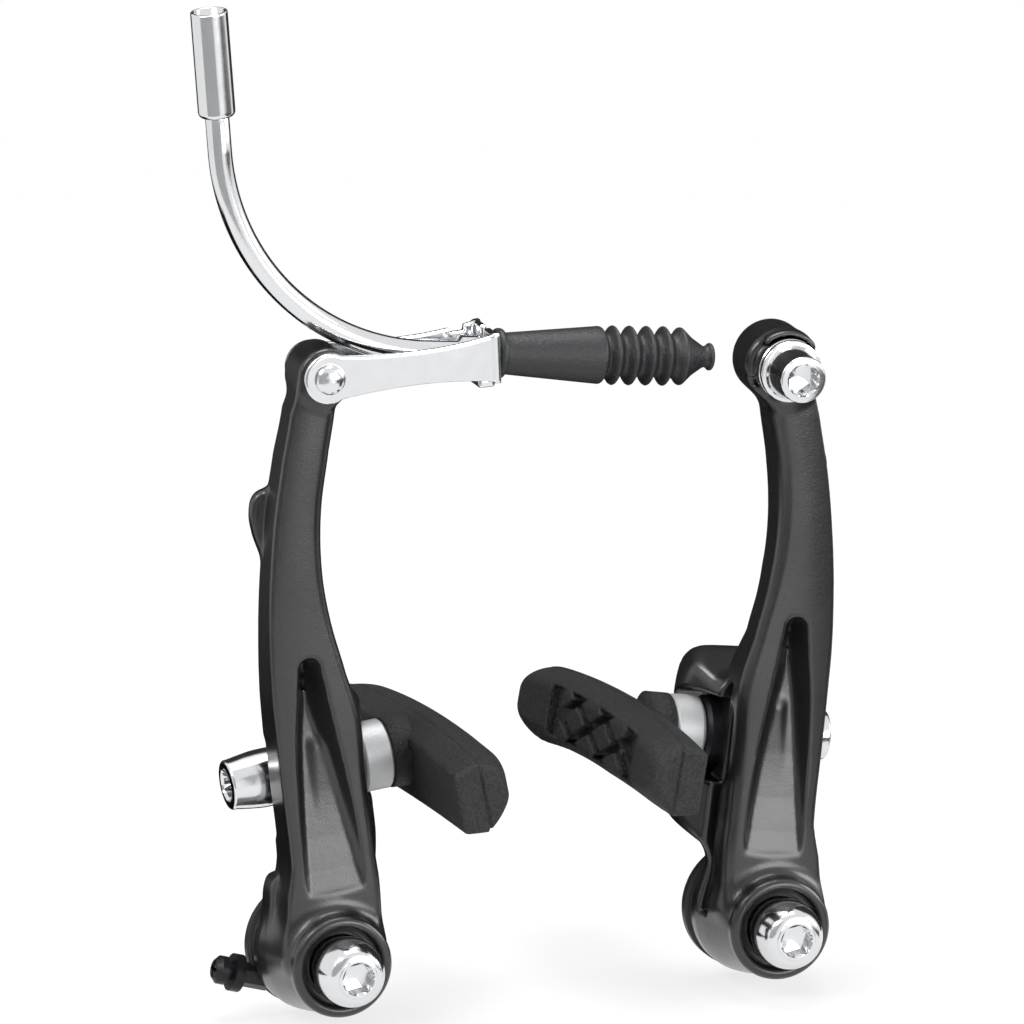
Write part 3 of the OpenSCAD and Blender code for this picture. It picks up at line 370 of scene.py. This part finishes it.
tree.links.new(gloss.outputs["Result"], surface.inputs["Roughness"])
for obj in (left_arm, right_arm):
    obj.data.materials.append(arm_paint)


# The brake pads
# Each pad is one block of moulded rubber with a stud in its back. Its friction face has a plain block at
# each end, two cross grooves, and crossed diagonal grooves that leave rows of lozenges between them.
PAD_BACK, PAD_THICK, PAD_PART = 20.9, 10.2, 4.8
PAD_HALF_LONG, PAD_HALF_HIGH = 36.4, 6.9
PAD_BEHIND, PAD_BELOW = 6.0, 2.0
PAD_PITCH, PAD_ROLL = math.radians(1.6), math.radians(4)
RIM_RADIUS = 300.0
END_ROUND, TREAD_DEEP = 8.0, 2.2
TREAD_Y, CROSS_Y, CROSS_WIDE = 1.9, 19.4, 6.0
LATTICE_Y, LATTICE_PITCH, LATTICE_WIDE, LATTICE_SLANT = 3.6, 6.2, 1.84, math.radians(25.7)
COLLAR_AT = 17.9
PAD_STEP = 0.3


def pad_field(deep, y, up):
    """Distance to a pad lying level: deep goes from its back to its face, y points back, up from its middle."""
    along = y - PAD_BEHIND
    rise = up + RIM_RADIUS - np.sqrt(RIM_RADIUS ** 2 - y ** 2)
    over = np.clip((np.abs(along) - PAD_HALF_LONG + END_ROUND) / END_ROUND, 0, 1)
    end = 1 - np.sqrt(np.maximum(1 - over ** 2, 0))
    half = PAD_HALF_HIGH - end
    face = PAD_THICK - 1.6 * end
    # Back half: a straight draft from the back's own height out to the parting line
    t = np.clip(deep / PAD_PART, 0, 1)
    low = rise < 0
    at_back = np.where(low, 6.8 - 1.3 * (along / PAD_HALF_LONG) ** 2, 5.3)
    back = np.abs(rise) - at_back - (half - at_back) * (1 - (1 - t) ** 1.3)
    # Front half: a small step in at the parting line, then a curve that falls ever faster to the face
    t = np.clip((deep - PAD_PART) / (face - PAD_PART), 0, 1)
    taper = np.where(low, 1.6 * np.clip((np.abs(along) - 11) / 22, 0, 1) ** 1.3, 0)
    front = np.abs(rise) - half + 0.2 + (1.1 + 0.9 * end + taper) * t + (1.3 + 0.9 * end) * t ** 3
    side = np.where(deep < PAD_PART, back, front)
    block = common(side, np.abs(deep - face / 2) - face / 2, 0.9)
    block = common(block, np.abs(along) - PAD_HALF_LONG, 0.9)
    # Fine groove that the mould leaves along its parting line
    block = block + 0.4 * np.exp(-((deep - PAD_PART) / 0.24) ** 2)
    # Tread: the two cross grooves, then both sets of diagonals between them
    floor = PAD_THICK - TREAD_DEEP
    low_wall = common(floor - deep, np.abs(rise) - PAD_HALF_HIGH + 2.5 + 0.9 * end, 0.3)
    tread = y - TREAD_Y
    cross = common(np.abs(np.abs(tread) - CROSS_Y) - CROSS_WIDE / 2, low_wall, 0.3)
    block = carve(block, cross, 0.35)
    for side in (-1, 1):
        distance = rise * math.cos(LATTICE_SLANT) - side * (y - LATTICE_Y) * math.sin(LATTICE_SLANT)
        line = np.abs((distance + LATTICE_PITCH / 2) % LATTICE_PITCH - LATTICE_PITCH / 2) - LATTICE_WIDE / 2
        line = common(line, np.abs(tread) - CROSS_Y, 0.3)
        block = carve(block, common(line, low_wall, 0.3), 0.35)
    return block


def pad_set(points):
    """Points of a level pad, as (deep, y, up), rolled and pitched on the stud of an upright arm."""
    deep, y, up = points.T
    up = up - PAD_BELOW
    out = -deep * math.cos(PAD_ROLL) + up * math.sin(PAD_ROLL)
    rise = deep * math.sin(PAD_ROLL) + up * math.cos(PAD_ROLL)
    back = y * math.cos(PAD_PITCH) + rise * math.sin(PAD_PITCH)
    rise = -y * math.sin(PAD_PITCH) + rise * math.cos(PAD_PITCH)
    return np.stack([out - PAD_BACK, STUD_FORWARD - back, STUD_UP + rise], 1)


PAD_LOW, PAD_HIGH = (-0.7, -31.5, -11), (11, 43.5, 8.5)
points, faces = skin_of(pad_field(*grid(PAD_LOW, PAD_HIGH, PAD_STEP)), PAD_LOW, PAD_STEP)
points = pad_set(settled(points, pad_field))
left_pad = made("left_pad_block", arm_points(points, -1), faces, "left_arm", ["left_pad"], "pad_rubber")
right_pad = made("right_pad_block", arm_points(points, 1), faces[:, ::-1], "right_arm", ["right_pad"], "pad_rubber")

# The pad collars
# Each is a round rubber spacer between the pad's back and its thick washer, moulded with the block. It is
# turned about the stud's axis, and its profile stops 0.12 mm short of the washer.
HEX_FLAT = 2.5  # from a socket's axis to its flats


def turned(profile, turns=96, closed=False):
    """Profile carried round an axis: each row is radius, height and how six-sided the ring is, from 0 to 1.
    A row of no radius at either end is a pole, closed with three-sided faces; a closed profile joins its ends."""
    rows = np.asarray(profile, float)
    angle = np.arange(turns) * 2 * np.pi / turns
    hexagon = HEX_FLAT / np.cos((angle + np.pi / 6) % (np.pi / 3) - np.pi / 6)
    radius = rows[:, :1] + rows[:, 2:3] * (rows[:, :1] / HEX_FLAT * hexagon - rows[:, :1])
    points = np.stack([radius * np.cos(angle), radius * np.sin(angle), rows[:, 1:2] + 0 * radius], -1).reshape(-1, 3)
    number = np.arange(len(points)).reshape(len(rows), turns)
    a, b = number[:-1], number[1:]
    faces = np.stack([a, np.roll(a, -1, 1), np.roll(b, -1, 1), b], -1)
    first, last = (1 if rows[0, 0] == 0 else 0), (-1 if rows[-1, 0] == 0 else None)
    out = faces[first:last].reshape(-1, 4).tolist()
    if closed:
        a, b = number[-1], number[0]
        out += np.stack([a, np.roll(a, -1), np.roll(b, -1), b], -1).tolist()
    if first:
        out += [[0, f[2], f[3]] for f in faces[0].tolist()]
    if last:
        out += [[f[0], f[1], int(number[-1, 0])] for f in faces[-1].tolist()]
    used = np.ones(len(points), bool)
    used[number[0][1:]] = not first
    used[number[-1][1:]] = not last
    renumber = np.cumsum(used) - 1
    return points[used], [[int(renumber[k]) for k in f] for f in out]


def set_along(points, origin, axis, hint=(0.0, 0.0, 1.0)):
    """Points of a turned piece, whose height is along Z, set with its base at origin and its height along axis."""
    z = np.asarray(axis, float) / np.linalg.norm(axis)
    x = np.cross(hint, z)
    x /= np.linalg.norm(x)
    return points @ np.stack([x, np.cross(z, x), z]) + np.asarray(origin, float)


def on_stud(profile, inward, side):
    """Turned piece whose height runs inward along the pad stud from a place measured from the pivot."""
    points, faces = turned(profile)
    base = arm_points(np.array([[-inward, STUD_FORWARD, STUD_UP]]), side)[0]
    axis = arm_points(np.array([[-inward - 1, STUD_FORWARD, STUD_UP]]), side)[0] - base
    return set_along(points, base, axis), faces


COLLAR = [[0, 0.12, 0], [6.05, 0.12, 0], [6.22, 0.3, 0], [6.4, 4.2, 0], [0, 4.2, 0]]
left_collar = made("left_pad_collar", *on_stud(COLLAR, COLLAR_AT, -1), "left_arm", (), "pad_rubber")
right_collar = made("right_pad_collar", *on_stud(COLLAR, COLLAR_AT, 1), "right_arm", (), "pad_rubber")

# Moulded brake rubber: charcoal, dull, with the grain of a spark-eroded mould, 0.6 mm across. Its colour has painted
# shade that follows the grain: near black in the hollows, charcoal on the crests
pad_rubber, tree, surface, place = finish_of("moulded_brake_rubber", {
    "Roughness": 0.58, "Specular IOR Level": 0.4})
grain = add(tree, "ShaderNodeTexNoise", inputs={"Vector": place, "Scale": 1700.0, "Detail": 3.0, "Roughness": 0.65})
bump = add(tree, "ShaderNodeBump", inputs={"Height": grain.outputs["Fac"], "Strength": 1.0, "Distance": 0.0006})
tree.links.new(bump.outputs["Normal"], surface.inputs["Normal"])
# Painted shade: the grain's hollows are coloured near black and its crests charcoal, following the bump's noise
hollow_shade = add(tree, "ShaderNodeMapRange", inputs={"Value": grain.outputs["Fac"], "From Min": 0.35, "From Max": 0.65})
hollow_shaded_colour = add(tree, "ShaderNodeMix", {"data_type": "RGBA"}, {
    "Factor": hollow_shade.outputs["Result"], "A": linear("#0d0e0f"), "B": linear("#242527")})
tree.links.new(hollow_shaded_colour.outputs["Result"], surface.inputs["Base Color"])
for obj in (left_pad, right_pad, left_collar, right_collar):
    obj.data.materials.append(pad_rubber)


# Turned steel: pivot bolts, pad nuts, anchor bolt, rivet and the washers
# All are turned or cold-headed, with hex sockets broached in them, then plated bright. The profiles are
# carried round their axis, and a socket's rings go from round to six-sided.
def arc(cx, cy, r, start, stop, steps=10):
    """Rows of a round corner in a profile, from one angle to another in degrees."""
    a = np.radians(np.linspace(start, stop, steps))
    return [[cx + r * math.cos(t), cy + r * math.sin(t), 0] for t in a]


def socket(top, depth):
    """Rows of a broached hex socket that goes down from a rim at the given height."""
    return [[2.95, top, 0], [2.72, top - 0.25, 0.3], [HEX_FLAT, top - 0.45, 1], [HEX_FLAT, top - depth, 1],
            [0, top - depth - 0.8, 0]]


# The pivot bolt's head is a dome with a raised ring round the socket
crown = np.radians(range(6, 84, 6))
DOME = ([[0, -16, 0], [2.5, -16, 0], [3.0, -15.5, 0], [3.0, 0, 0]] + arc(5.75, 0.3, 0.28, -90, 0, 5)
        + [[6.02, 0.9, 0]] + [[3.5 + 2.5 * math.cos(a) ** 0.9, 0.95 + 5.3 * math.sin(a), 0] for a in crown]
        + [[3.52, 6.22, 0]] + arc(3.3, 6.2, 0.22, 0, 90, 4) + socket(6.4, 3.4))
steel_pieces = []
for side, name in ((-1, "left"), (1, "right")):
    points, faces = turned(DOME)
    at = set_along(points, (side * PIVOT_X, -23, 0), (0, -1, 0), (math.sin(0.35), 0, math.cos(0.35)))
    steel_pieces.append(made(name + "_pivot_bolt_head", at, faces, "pivots", [name + "_pivot_bolt"], "chrome_steel"))

# The pad nut is a round barrel that narrows to its open end. It lies against the outer washers, outside the
# seat by the wall's thickness and theirs.
SEAT_WALL, CUP_STACK, THIN_STACK = 6.0, 2.9, 2.0
NUT_AT = SEAT_IN - SEAT_WALL - CUP_STACK - THIN_STACK
NUT = ([[0, 0, 0]] + arc(4.75, 0.35, 0.35, -90, 0, 5) + [[5.1, 3.2, 0], [5.02, 4.4, 0], [4.82, 6.0, 0], [4.4, 8.7, 0]]
       + arc(3.95, 9.05, 0.45, 0, 90, 6) + [[3.3, 9.5, 0]] + socket(9.55, 3.0))
for side, name in ((-1, "left"), (1, "right")):
    points, faces = turned(NUT)
    base = arm_points(np.array([[-NUT_AT, STUD_FORWARD, STUD_UP]]), side)[0]
    axis = arm_points(np.array([[-NUT_AT + 1, STUD_FORWARD, STUD_UP]]), side)[0] - base
    steel_pieces.append(made(name + "_pad_nut_barrel", set_along(points, base, axis), faces,
                             name + "_arm", [name + "_pad_nut"], "chrome_steel"))

# The anchor bolt has a flange, a tapered head and a socket
anchor_base = arm_points(np.array([[ANCHOR_HEAD[0], 18.8, ANCHOR_HEAD[1]]]), 1)[0]
thread = [[2.97 - 0.3 * (i % 2), -12.7 + 0.5 * i, 0] for i in range(8)]
ANCHOR = ([[0, -13.2, 0], [2.6, -13.2, 0]] + thread + [[3.0, -8.4, 0], [3.0, 0, 0]]
          + arc(5.25, 0.25, 0.25, -90, 0, 4) + arc(5.15, 0.9, 0.35, 0, 80, 5)
          + [[4.85, 1.3, 0], [4.62, 1.6, 0], [4.5, 2.2, 0], [4.12, 6.6, 0]]
          + arc(3.7, 7.15, 0.42, 0, 90, 6) + [[3.2, 7.58, 0]] + socket(7.6, 3.6))
points, faces = turned(ANCHOR)
steel_pieces.append(made("anchor_bolt_head", set_along(points, anchor_base, (0, -1, 0)), faces,
                         "right_arm", ["anchor_bolt"], "chrome_steel"))

# Bright plated steel: a mirror with fine turning marks and the smears of handling
bright_steel, tree, surface, place = finish_of("bright_plated_steel", {
    "Base Color": linear("#dcdddf"), "Metallic": 1.0, "Roughness": 0.12})
smear = add(tree, "ShaderNodeTexNoise", inputs={"Vector": place, "Scale": 350.0, "Detail": 4.0})
gloss = add(tree, "ShaderNodeMapRange", inputs={"Value": smear.outputs["Fac"], "To Min": 0.07, "To Max": 0.2})
tree.links.new(gloss.outputs["Result"], surface.inputs["Roughness"])
marks = add(tree, "ShaderNodeBump", inputs={"Height": smear.outputs["Fac"], "Strength": 0.08, "Distance": 0.0001})
tree.links.new(marks.outputs["Normal"], surface.inputs["Normal"])
for obj in steel_pieces:
    obj.data.set_sharp_from_angle(angle=math.radians(40))
    obj.data.materials.append(bright_steel)


# The rubber boot
# A thin moulded bellows that keeps dirt out of the tube's nose: collar, cone, pleats and a small neck.
# Its profile goes up the outside and back down the inside, and it is pushed over the nose.
NOSE = np.array([-10.111, -11.6, 104.819])
NOSE_DOWN = math.radians(5.5)
nose_axis = np.array([math.cos(NOSE_DOWN), 0, -math.sin(NOSE_DOWN)])
PLEAT_START, PLEAT_PITCH, PLEATS = 20.6, 3.1, 4
ramp = np.linspace(0, 1, 12)
pleat = np.linspace(0, PLEATS, PLEATS * 16 + 1)
crest = 4.32 - 0.75 * np.cos(2 * np.pi * pleat) + 0.1 * np.cos(4 * np.pi * pleat)
pleat_end = PLEAT_START + 0.2 + PLEATS * PLEAT_PITCH
BOOT = ([[2.13, 0.75, 0]] + arc(3.7, 1.45, 0.7, -90, 0, 6) + arc(3.7, 1.6, 0.7, 0, 80, 6) + [[3.62, 2.15, 0]]
        + [[3.6 + 1.42 * t, 2.3 + 17.3 * t, 0] for t in ramp] + arc(4.55, 19.75, 0.45, 0, 80, 5)
        + [[r, PLEAT_START + 0.2 + p * PLEAT_PITCH, 0] for r, p in zip(crest, pleat)]
        + [[4.3, pleat_end + 0.75, 0]] + arc(4.6, pleat_end + 1.5, 0.42, -50, 50, 6)
        + [[3.4, pleat_end + 3.4, 0], [2.4, pleat_end + 4.9, 0], [1.95, pleat_end + 5.6, 0],
           [1.82, pleat_end + 6.0, 0]]
        + arc(1.98, pleat_end + 7.0, 0.42, -80, 90, 8)
        + [[0.8, pleat_end + 7.5, 0], [0.8, pleat_end + 5.2, 0], [2.6, pleat_end - 0.6, 0], [2.6, 13.4, 0],
           [2.13, 12.4, 0]])
points, faces = turned(BOOT, closed=True)
boot = made("bellows_boot", set_along(points, NOSE, nose_axis), faces, "noodle", ["boot"], "boot_rubber")

# Moulded black rubber with a satin skin: mottled by the mould's blasted face, 0.5 mm across
boot_rubber, tree, surface, place = finish_of("moulded_black_rubber", {
    "Base Color": linear("#1c1d1f"), "Roughness": 0.45, "Specular IOR Level": 0.5})
mottle = add(tree, "ShaderNodeTexNoise", inputs={"Vector": place, "Scale": 1500.0, "Detail": 4.0, "Roughness": 0.65})
bump = add(tree, "ShaderNodeBump", inputs={"Height": mottle.outputs["Fac"], "Strength": 0.8, "Distance": 0.0002})
tree.links.new(bump.outputs["Normal"], surface.inputs["Normal"])
boot.data.materials.append(boot_rubber)


# The noodle and its ferrule
# A steel tube bent round a former and plated bright, with a ferrule crimped on its upper end.
BEND, TAIL, LEAD, TURN = 42.0, 11.2, 6.4, math.radians(80)
side_axis = np.array([0, 1.0, 0])
rise_axis = np.array([math.sin(NOSE_DOWN), 0, math.cos(NOSE_DOWN)])


def along_tube(radius, bore, nose, lead, sides=48, steps=90):
    """Circle carried from the nose round the bend to the end of the lead, then a smaller one carried back as
    the bore; the bend is a plane arc."""
    a = np.concatenate([[0, 0], np.linspace(0, TURN, steps), [TURN]])
    past = np.concatenate([[-TAIL - nose, -TAIL / 2], np.zeros(steps), [lead]])
    a, past = np.concatenate([a, a[::-1]]), np.concatenate([past, past[::-1]])
    r = np.repeat([radius, bore], len(a) // 2)[:, None]
    q = np.arange(sides) * 2 * np.pi / sides
    d = BEND - r * np.cos(q)
    back = TAIL + d * np.sin(a)[:, None] + (past * np.cos(a))[:, None]
    rise = BEND - d * np.cos(a)[:, None] + (past * np.sin(a))[:, None]
    points = NOSE - back[..., None] * nose_axis + rise[..., None] * rise_axis + (r * np.sin(q))[..., None] * side_axis
    number = np.arange(len(a) * sides).reshape(len(a), sides)
    ahead = np.roll(number, -1, 0)
    faces = np.stack([number, np.roll(number, -1, 1), np.roll(ahead, -1, 1), ahead], -1)
    return points.reshape(-1, 3), faces.reshape(-1, 4)


TUBE_RADIUS, TUBE_BORE, NOSE_LONG, IN_FERRULE = 2.1, 1.5, 10.8, 7.9
points, faces = along_tube(TUBE_RADIUS, TUBE_BORE, NOSE_LONG, LEAD + IN_FERRULE)
noodle = made("bent_guide_tube", points, faces, "noodle", ["noodle_tube", "noodle_liner"], "polished_steel")
lead_axis = -nose_axis * math.cos(TURN) + rise_axis * math.sin(TURN)
bend_end = NOSE - nose_axis * (TAIL + BEND * math.sin(TURN)) + rise_axis * BEND * (1 - math.cos(TURN))
FERRULE = ([[TUBE_RADIUS, 0, 0]] + arc(2.25, 1.0, 1.0, -90, 0, 9) + [[3.25, 1.2, 0], [3.25, 18.4, 0]]
           + arc(3.05, 18.6, 0.2, 0, 90, 4)
           + [[2.7, 18.8, 0], [2.55, 18.65, 0], [2.55, 8.0, 0], [TUBE_RADIUS, 8.0, 0]])
points, faces = turned(FERRULE, closed=True)
ferrule = made("crimped_ferrule", set_along(points, bend_end + LEAD * lead_axis, lead_axis, (0, 1, 0)), faces,
               "noodle", ["ferrule"], "polished_steel")
for obj in (noodle, ferrule):
    obj.data.materials.append(bright_steel)


# The link
# Folded from one piece of sheet steel: two plates with round ends either side of the arm's head, joined by
# a flat fold that holds the tube's nose. It is polished and plated, and riveted so that it swings.
RIVET_X, RIVET_Z = -41.105, 104.021
TILT = math.radians(2.4)
LINK_LONG, SHEET, EYE_RADIUS = 31.0, 1.2, 4.5
LINK_FRONT, LINK_BACK = 17.4, 5.8
NOSE_HOLE, CABLE_SLOT = 2.2, 1.05
LINK_STEP = 0.2
LINK_LOW, LINK_HIGH = (-6, 4.6, -7.4), (33, 18.6, 6.4)
x, v, z = grid(LINK_LOW, LINK_HIGH, LINK_STEP)
t = np.clip((x - 1.4) / (LINK_LONG - 1.4), 0, 1)
half = 3.0 + np.where(t < 0.5, 1.0 * (1 - t / 0.5) ** 2, 1.4 * ((t - 0.5) / 0.5) ** 2)
outline = np.minimum(np.hypot(x, z) - EYE_RADIUS,
                     np.maximum(np.abs(z) - half, np.maximum(1.4 - x, x - LINK_LONG)))
middle = (LINK_FRONT + LINK_BACK) / 2
plates = common(outline, np.abs(np.abs(v - middle) - (LINK_FRONT - LINK_BACK - SHEET) / 2) - SHEET / 2, 0.45)
fold = common(rounded_box(x, v, LINK_LONG - SHEET, LINK_LONG, LINK_BACK, LINK_FRONT, 0.4), np.abs(z) - 4.4, 0.4)
lip = common(rounded_box(x, v, LINK_LONG - 3, LINK_LONG, 9.0, 14.2, 0.5), np.abs(z + 5.1) - 0.75, 0.4)
link_field = fillet(fillet(plates, fold, 0.5), lip, 0.4)
nose_line = NOSE_DOWN + TILT
off_axis = (z + 0.5) * math.cos(nose_line) + (x - LINK_LONG) * math.sin(nose_line)
link_field = carve(link_field, common(np.hypot(off_axis, v - middle) - NOSE_HOLE, 20 - x, 0.1), 0.2)
cable_slot = np.maximum(np.abs(v - middle) - CABLE_SLOT, -off_axis)
link_field = carve(link_field, common(cable_slot, LINK_LONG - 4 - x, 0.1), 0.2)
notch = common(rounded_box(x, z, LINK_LONG - 5.6, LINK_LONG - 3, 2.8, 9, 0.3), v - 8, 0.2)
link_field = carve(link_field, notch, 0.2)
link_field = carve(link_field, np.hypot(x, z) - RIVET_BORE + 0 * v, 0.2)
points, faces = skin_of(link_field, LINK_LOW, LINK_STEP)
place_x = RIVET_X + points[:, 0] * math.cos(TILT) - points[:, 2] * math.sin(TILT)
place_z = RIVET_Z + points[:, 0] * math.sin(TILT) + points[:, 2] * math.cos(TILT)
link = made("folded_link", np.stack([place_x, -points[:, 1], place_z], 1), faces[:, ::-1], "link", ["link"],
            "polished_steel")
link.data.materials.append(bright_steel)


# Plain pieces that keep the part's own solids
# Bushings, washers, housings, springs and the screw are exact already, so they only get their finishes.
def plain(name, color, metal, rough, scale, strength):
    """Material of one colour whose gloss and bump vary with a noise of the given scale."""
    material, tree, surface, place = finish_of(name, {
        "Base Color": linear(color), "Metallic": metal, "Roughness": rough})
    noise = add(tree, "ShaderNodeTexNoise", inputs={"Vector": place, "Scale": scale, "Detail": 4.0})
    gloss = add(tree, "ShaderNodeMapRange", inputs={
        "Value": noise.outputs["Fac"], "To Min": max(rough - 0.08, 0.03), "To Max": rough + 0.08})
    tree.links.new(gloss.outputs["Result"], surface.inputs["Roughness"])
    bump = add(tree, "ShaderNodeBump", inputs={
        "Height": noise.outputs["Fac"], "Strength": strength, "Distance": 0.0001})
    tree.links.new(bump.outputs["Normal"], surface.inputs["Normal"])
    return material


blasted = plain("blasted_zinc_alloy", "#b4b5b6", 0.55, 0.5, 2500.0, 0.5)
black_steel = plain("black_oxide_steel", "#202124", 0.6, 0.38, 900.0, 0.2)
black_plastic = plain("moulded_acetal", "#1a1b1d", 0.0, 0.45, 1500.0, 0.3)
spring_wire = plain("drawn_spring_wire", "#a9abad", 1.0, 0.3, 1200.0, 0.1)
ground_steel = plain("ground_steel", "#b9bbbd", 1.0, 0.25, 900.0, 0.1)
FINISHES = {
    "left_thick_washer": blasted, "right_thick_washer": blasted, "left_thin_washer": blasted,
    "right_thin_washer": blasted, "left_inner_cup": black_steel, "right_inner_cup": black_steel,
    "left_outer_cup": black_steel, "right_outer_cup": black_steel, "tension_screw": black_steel,
    "left_spring_housing": black_plastic, "right_spring_housing": black_plastic,
    "left_return_spring": spring_wire, "right_return_spring": spring_wire,
    "left_bushing": ground_steel, "right_bushing": ground_steel, "left_pad_stud": ground_steel,
    "right_pad_stud": ground_steel, "left_pivot_washer": bright_steel, "right_pivot_washer": bright_steel,
    "link_rivet": bright_steel, "clamp_washer": bright_steel, "noodle_nose": bright_steel,
}
for name, material in FINISHES.items():
    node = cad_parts[name]
    node.data.materials.clear()
    node.data.materials.append(material)


# Studio
# A plain pale floor under the bosses, soft lamps, and a long lens at the photograph's angle. Dark cards that
# only glosses see give the paint its dark edges.
CAMERA_TURN, CAMERA_RISE = math.radians(18.75), math.radians(14.3)
TARGET = Vector((-2.11, 0, 73.09)) * 0.001
toward = Vector((-math.sin(CAMERA_TURN) * math.cos(CAMERA_RISE),
                 -math.cos(CAMERA_TURN) * math.cos(CAMERA_RISE), math.sin(CAMERA_RISE)))
DISTANCE = 8.0
PIXELS_PER_METRE = 5780.0
lens = bpy.data.cameras.new("long_lens")
lens.sensor_width = 36
lens.lens = 36 * DISTANCE / (1024 / PIXELS_PER_METRE)
lens.clip_end = 100
camera = bpy.data.objects.new("long_lens", lens)
camera.location = TARGET + DISTANCE * toward
camera.rotation_euler = (-toward).to_track_quat("-Z", "Y").to_euler()
bpy.context.scene.collection.objects.link(camera)
bpy.context.scene.camera = camera


def straight_or_gloss(tree):
    """Node that is 1 for a ray from the camera, a gloss or a clear piece, and 0 for one that lights the scene."""
    path = add(tree, "ShaderNodeLightPath").outputs
    seen = add(tree, "ShaderNodeMath", {"operation": "MAXIMUM"}, {0: path["Is Camera Ray"], 1: path["Is Glossy Ray"]})
    return add(tree, "ShaderNodeMath", {"operation": "MAXIMUM"}, {0: seen.outputs[0], 1: path["Is Transmission Ray"]})


def sheet(name, corners, color, glow, far_glow):
    """Flat sheet of paper or card from its four corners. Seen directly or in a gloss it glows by one share near
    the object and by another from 0.7 m on."""
    mesh = bpy.data.meshes.new(name)
    mesh.from_pydata(corners, [], [(0, 1, 2, 3)])
    obj = bpy.data.objects.new(name, mesh)
    bpy.context.scene.collection.objects.link(obj)
    material = bpy.data.materials.new(name + "_card")
    material.use_nodes = True
    tree = material.node_tree
    tree.nodes.clear()
    card = add(tree, "ShaderNodeBsdfDiffuse", inputs={"Color": linear(color)})
    light = add(tree, "ShaderNodeEmission", inputs={"Color": (1, 1, 1, 1), "Strength": 1.0})
    seen = straight_or_gloss(tree)
    place = add(tree, "ShaderNodeTexCoord").outputs["Object"]
    away = add(tree, "ShaderNodeVectorMath", {"operation": "LENGTH"}, {0: place})
    ramp = add(tree, "ShaderNodeMapRange", {"interpolation_type": "SMOOTHSTEP"}, {
        "Value": away.outputs["Value"], "From Min": 0.2, "From Max": 0.7, "To Min": glow, "To Max": far_glow})
    share = add(tree, "ShaderNodeMath", {"operation": "MULTIPLY"}, {0: seen.outputs[0], 1: ramp.outputs["Result"]})
    mix = add(tree, "ShaderNodeMixShader", inputs={0: share.outputs[0], 1: card.outputs[0], 2: light.outputs[0]})
    add(tree, "ShaderNodeOutputMaterial", inputs={"Surface": mix.outputs[0]})
    mesh.materials.append(material)
    return obj


FLOOR_Z = -0.0125
sheet("floor", [(-9, -9, FLOOR_Z), (9, -9, FLOOR_Z), (9, 9, FLOOR_Z), (-9, 9, FLOOR_Z)], "#f4f4f4", 0.75, 1.0)


def flag(name, corners, color):
    """Card round the object that is seen only in glosses and throws no shade."""
    obj = sheet(name, corners, color, 0.0, 0.0)
    obj.visible_camera = obj.visible_diffuse = obj.visible_shadow = obj.visible_transmission = False


def upright(bearing, half_angle, distance, height):
    """Corners of an upright card: bearing from the front, positive to the right, in degrees."""
    ends = [math.radians(bearing - half_angle), math.radians(bearing + half_angle)]
    return [(distance * math.sin(t), -distance * math.cos(t), z)
            for t, z in ((ends[0], FLOOR_Z), (ends[1], FLOOR_Z), (ends[1], height), (ends[0], height))]


flag("flag_rear", upright(161, 58, 0.26, 0.24), "#2a2a2a")
flag("flag_under", [(-0.25, 0.03, FLOOR_Z + 0.001), (0.25, 0.03, FLOOR_Z + 0.001),
                    (0.25, 0.3, FLOOR_Z + 0.001), (-0.25, 0.3, FLOOR_Z + 0.001)], "#0a0a0a")
flag("flag_front", upright(-42, 34, 0.34, 0.26), "#a8a8a8")
flag("mat_front", [(0.09, -0.05, FLOOR_Z + 0.001), (0.26, -0.6, FLOOR_Z + 0.001), (0.9, -0.6, FLOOR_Z + 0.001),
                   (0.9, -0.05, FLOOR_Z + 0.001)], "#404040")


def softbox(name, place, aim, size, power):
    """Square area lamp at a place, aimed at a point, in metres and watts."""
    lamp = bpy.data.lights.new(name, "AREA")
    lamp.size = size
    lamp.energy = power
    obj = bpy.data.objects.new(name, lamp)
    obj.location = place
    obj.rotation_euler = (Vector(aim) - Vector(place)).to_track_quat("-Z", "Y").to_euler()
    bpy.context.scene.collection.objects.link(obj)


softbox("softbox_left", (-0.75, -0.35, 0.7), (0, 0, 0.05), 0.5, 7)
softbox("softbox_right", (0.8, -0.3, 0.35), (0, 0, 0.05), 0.4, 3)
softbox("softbox_top", (0.0, 0.1, 0.95), (0, 0, 0.05), 0.5, 6)
softbox("softbox_front", (0.38, -0.95, 0.2), (0, 0, 0.05), 0.5, 4.2)

world = bpy.data.worlds.new("studio_white")
bpy.context.scene.world = world
world.use_nodes = True
tree = world.node_tree
tree.nodes.clear()
soft = add(tree, "ShaderNodeBackground", inputs={"Color": (1, 1, 1, 1), "Strength": 0.45})
white = add(tree, "ShaderNodeBackground", inputs={"Color": (1, 1, 1, 1), "Strength": 1.0})
seen = straight_or_gloss(tree)
mix = add(tree, "ShaderNodeMixShader", inputs={0: seen.outputs[0], 1: soft.outputs[0], 2: white.outputs[0]})
add(tree, "ShaderNodeOutputWorld", inputs={"Surface": mix.outputs[0]})
bpy.context.scene.view_settings.view_transform = "Standard"
